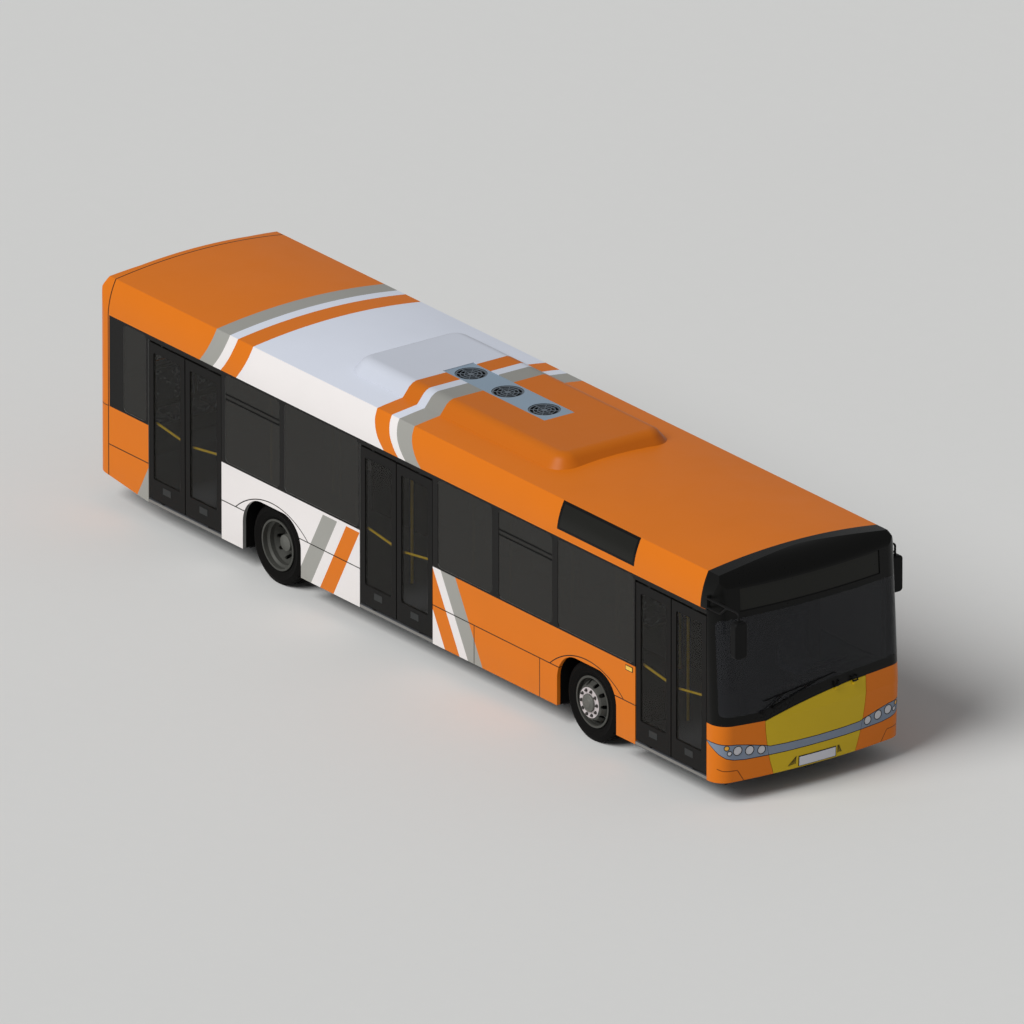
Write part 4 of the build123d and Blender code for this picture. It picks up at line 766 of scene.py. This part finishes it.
# ------------------------------------------------------------------ rims and wheel fittings
# Pressed steel discs painted grey, held by ten nuts on a bare steel flange ring round the hub cap.
# The rear discs sit deep in the outer rim, so their ring lies behind the dish.
rim_grey = finish("rim_grey", srgb(76, 76, 72), rough=(0.42, 0.62), scale=25, shade=0.14, metal=0.2, shine=0.15)
dress(("rim_front_left", "rim_front_right", "rims_rear_left", "rims_rear_right"), rim_grey)
flange_steel = finish("flange_steel", srgb(206, 198, 198), rough=(0.35, 0.5), scale=60, shade=0.06, metal=0.2)
nut_steel = finish("nut_steel", srgb(74, 72, 70), rough=(0.35, 0.55), scale=80, metal=0.6)
cap_grey = finish("hub_cap_grey", srgb(104, 104, 99), rough=(0.4, 0.55), scale=60, metal=0.3)


def turned(verts, faces, centre, sign, profile, n=48):
    """Turned part round the Y axis; the profile goes from outside to the middle as radius and reach."""
    base, m = len(verts), len(profile)
    for i in range(n):
        a = i * math.tau / n
        for r, h in profile:
            verts.append((centre[0] + r * math.cos(a), centre[1] + sign * h, centre[2] + r * math.sin(a)))
    for i in range(n):
        a, b = base + i * m, base + ((i + 1) % n) * m
        faces.extend((a + k, a + k + 1, b + k + 1, b + k) for k in range(m - 1))
    if profile[-1][0] < 0.02:
        faces.append(tuple(base + i * m + m - 1 for i in range(n)))


nut = ((0.0205, 0.003), (0.0205, 0.006), (0.0165, 0.007), (0.0165, 0.019), (0.014, 0.021), (0.009, 0.021),
       (0.009, 0.029), (0.008, 0.030))
front_cap = ((0.104, 0.0), (0.104, 0.020), (0.101, 0.026), (0.094, 0.030), (0.054, 0.0325), (0.052, 0.036),
             (0.046, 0.0375), (0.001, 0.0375))
rear_cap = ((0.0975, 0.0), (0.0975, 0.160), (0.094, 0.166), (0.088, 0.1695), (0.05, 0.1715), (0.046, 0.174),
            (0.001, 0.174))
# body, axle, mounting face, side, the flange ring's two radii, bolt circle and cap
for body, x, y, sign, ring, bolts, cap in (
        ("wheel_front_left", FRONT_AXLE, 1.235, 1, (0.1775, 0.104), 0.145, front_cap),
        ("wheel_front_right", FRONT_AXLE, -1.235, -1, (0.1775, 0.104), 0.145, front_cap),
        ("wheels_rear_left", REAR_AXLE, 0.921, 1, (0.158, 0.0975), 0.131, rear_cap),
        ("wheels_rear_right", REAR_AXLE, -0.921, -1, (0.158, 0.0975), 0.131, rear_cap)):
    centre = (x, y, WHEEL_Z)
    verts, faces = [], []
    washer = ((ring[0], 0), (ring[0] - 0.001, 0.003), (ring[1] + 0.001, 0.003), (ring[1], 0))
    turned(verts, faces, centre, sign, washer, 64)
    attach(new_piece("flange_ring_" + body, verts, faces, flange_steel, smooth=False), body)
    verts, faces = [], []
    rows, sides = len(nut), 12
    for i in range(10):
        a = i * math.tau / 10 + 0.05
        at_nut = (x + bolts * math.cos(a), y, WHEEL_Z + bolts * math.sin(a))
        turned(verts, faces, at_nut, sign, nut, sides)
        faces.append(tuple(len(verts) - sides * rows + rows * j + rows - 1 for j in range(sides)))
    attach(new_piece("nuts_" + body, verts, faces, nut_steel, smooth=False), body)
    verts, faces = [], []
    turned(verts, faces, centre, sign, cap)
    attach(new_piece("hub_cap_" + body, verts, faces, cap_grey), body)

# ------------------------------------------------------------------ seats
# Double seats on pedestals along the left side, a bench over the engine and the driver's seat. Each
# has a moulded shell with a foam pad in blue-grey woven cloth, blown up a little inside its cover.
cloth, tree, shader = bare("woven_seat_cloth")
at = place(tree)[3]
warp = tree.nodes.new("ShaderNodeTexWave")
weft = tree.nodes.new("ShaderNodeTexWave")
warp.bands_direction, weft.bands_direction = "Y", "DIAGONAL"
for weave in (warp, weft):
    weave.inputs["Scale"].default_value = 180
    tree.links.new(at, weave.inputs["Vector"])
thread = calc(tree, "MULTIPLY", warp.outputs["Fac"], weft.outputs["Fac"])
colour = over(tree, thread, srgb(38, 48, 74), srgb(66, 82, 120))
colour = over(tree, calc(tree, "GREATER_THAN", grain(tree, at, 24, 1), 0.62), colour, srgb(112, 120, 140))
tree.links.new(colour, shader.inputs["Base Color"])
tree.links.new(spread(tree, thread, 0.95, 0.8), shader.inputs["Roughness"])
tree.links.new(relief(tree, thread, 0.0008), shader.inputs["Normal"])
shader.inputs["Sheen Weight"].default_value = 0.3
shell_grey = finish("seat_shell_grey", srgb(74, 76, 80), rough=(0.5, 0.65), scale=70, depth=0.0005)


def stuffed(sizes, cap=0.014, cell=0.013):
    """Foam pads in their covers: slightly small blocks, swollen by pressure up to a cap, as meshes."""
    pads = []
    for k, size in enumerate(sizes):
        bm = bmesh.new()
        bmesh.ops.create_cube(bm, size=1)
        for v in bm.verts:
            v.co = Vector(v.co[i] * (size[i] - 0.018) for i in range(3)) + Vector((0, 0, 3 + k))
        mesh = bpy.data.meshes.new("pad_block")
        bm.to_mesh(mesh)
        bm.free()
        pad = bpy.data.objects.new("pad_block", mesh)
        scene.collection.objects.link(pad)
        even = pad.modifiers.new("even", "REMESH")
        even.mode, even.voxel_size = "VOXEL", cell
        evened = pad.evaluated_get(bpy.context.evaluated_depsgraph_get())
        pad.data = bpy.data.meshes.new_from_object(evened)
        pad.modifiers.clear()
        pads.append(pad)
    before = [[v.co.copy() for v in pad.data.vertices] for pad in pads]
    for pad in pads:
        swell = pad.modifiers.new("swell", "CLOTH").settings
        swell.quality, swell.use_pressure, swell.uniform_pressure_force = 5, True, 4
        swell.effector_weights.gravity = 0
    for f in range(1, 21):
        scene.frame_set(f)
    graph = bpy.context.evaluated_depsgraph_get()
    shapes = []
    for k, (pad, rest) in enumerate(zip(pads, before)):
        shape = bpy.data.meshes.new_from_object(pad.evaluated_get(graph))
        for v, was in zip(shape.vertices, rest):
            step = v.co - was
            if step.length > cap:
                v.co = was + step * (cap / step.length)
            v.co.z -= 3 + k
        shapes.append(shape)
    scene.frame_set(1)
    thin = []
    for pad, shape in zip(pads, shapes):
        pad.modifiers.clear()
        pad.data = shape
        fewer = pad.modifiers.new("fewer", "DECIMATE")
        fewer.ratio = 0.3
        graph = bpy.context.evaluated_depsgraph_get()
        thin.append(bpy.data.meshes.new_from_object(pad.evaluated_get(graph)))
    for pad in pads:
        bpy.data.objects.remove(pad)
    return thin


def lay(name, placed, body="body"):
    """One piece of several pads, each a pad's mesh and its centre."""
    bm = bmesh.new()
    for mesh, centre in placed:
        start = len(bm.verts)
        bm.from_mesh(mesh)
        bm.verts.ensure_lookup_table()
        bmesh.ops.translate(bm, verts=bm.verts[start:], vec=centre)
    joined = bpy.data.meshes.new(name)
    bm.to_mesh(joined)
    bm.free()
    joined.materials.clear()
    joined.materials.append(cloth)
    joined.polygons.foreach_set("use_smooth", [True] * len(joined.polygons))
    joined.polygons.foreach_set("material_index", [0] * len(joined.polygons))
    piece = bpy.data.objects.new(name, joined)
    scene.collection.objects.link(piece)
    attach(piece, body)
    return piece


cushion, upright, bench_pad, bench_back, wide_cushion, wide_back = stuffed(
    ((0.415, 0.415, 0.068), (0.052, 0.415, 0.570), (0.365, 0.580, 0.070), (0.055, 0.580, 0.430),
     (0.415, 0.455, 0.068), (0.052, 0.455, 0.570)))
units = (-1.65, -0.75, 0.15, 1.05, 1.95)
spans = []
for x in units:
    spans += [(x - 0.06, x + 0.06, 0.70, 0.82, 0.304, 0.655), (x - 0.17, x + 0.19, 0.36, 1.16, 0.640, 0.662),
              (x - 0.206, x - 0.196, 0.34, 1.18, 0.70, 1.27)]
seat_shells = boxes("seat_shells", spans, shell_grey, "body", 0.004)
pads = lay("seat_cushions", [(cushion, (x + 0.012, y, 0.705)) for x in units for y in (0.547, 0.973)])
backs = lay("seat_backs", [(upright, (x - 0.163, y, 0.992)) for x in units for y in (0.547, 0.973)])
seat_and_back = [(-5.975, -5.545, -1.17, 1.17, 0.761, 0.918), (-5.988, -5.962, -1.17, 1.17, 0.918, 1.45)]
bench_box = boxes("bench_box", seat_and_back, shell_grey, "body", 0.004)
rows = (-0.876, -0.292, 0.292, 0.876)
bench = lay("bench_cushions", [(bench_pad, (-5.728, y, 0.957)) for y in rows] +
            [(bench_back, (-5.928, y, 1.232)) for y in rows])
for piece in (seat_shells, pads, backs, bench_box, bench):
    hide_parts("passenger_seats")
pedestal_pan_back = [(4.50, 4.62, 0.59, 0.71, 0.521, 0.875), (4.40, 4.75, 0.44, 0.86, 0.866, 0.884),
                     (4.352, 4.362, 0.43, 0.87, 0.92, 1.49)]
driver_shell = boxes("driver_seat_shell", pedestal_pan_back, shell_grey, "body", 0.004)
driver_pads = lay("driver_seat_pads", [(wide_cushion, (4.572, 0.65, 0.925)), (wide_back, (4.394, 0.65, 1.208))])
for piece in (driver_shell, driver_pads):
    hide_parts("driver_seat")

# ------------------------------------------------------------------ poles and driver's place
# Yellow powder-coated tube for the upright poles and the rails along the ceiling, a grained black
# dashboard with its cluster and keys, and a rubber-covered steering wheel.
dress(("grab_poles",), finish("pole_yellow", srgb(226, 188, 40), rough=(0.35, 0.5), scale=60))
dress(("driver_station",), finish("dash_black", srgb(46, 46, 48), rough=(0.6, 0.75), scale=90, depth=0.0006))
dress(("steering_wheel",), finish("wheel_rubber", srgb(24, 24, 24), rough=(0.55, 0.7), scale=90, depth=0.0004))
key_grey = finish("dash_keys", srgb(92, 94, 96), rough=(0.4, 0.6), scale=80)
keys = [(5.262 + 0.026 * i, 5.282 + 0.026 * i, 0.34 + 0.03 * j, 0.34 + 0.03 * j + 0.02, 1.0895, 1.094)
        for i in range(4) for j in range(5)]
boxes("dash_keys", keys, key_grey, "body", 0.0015)
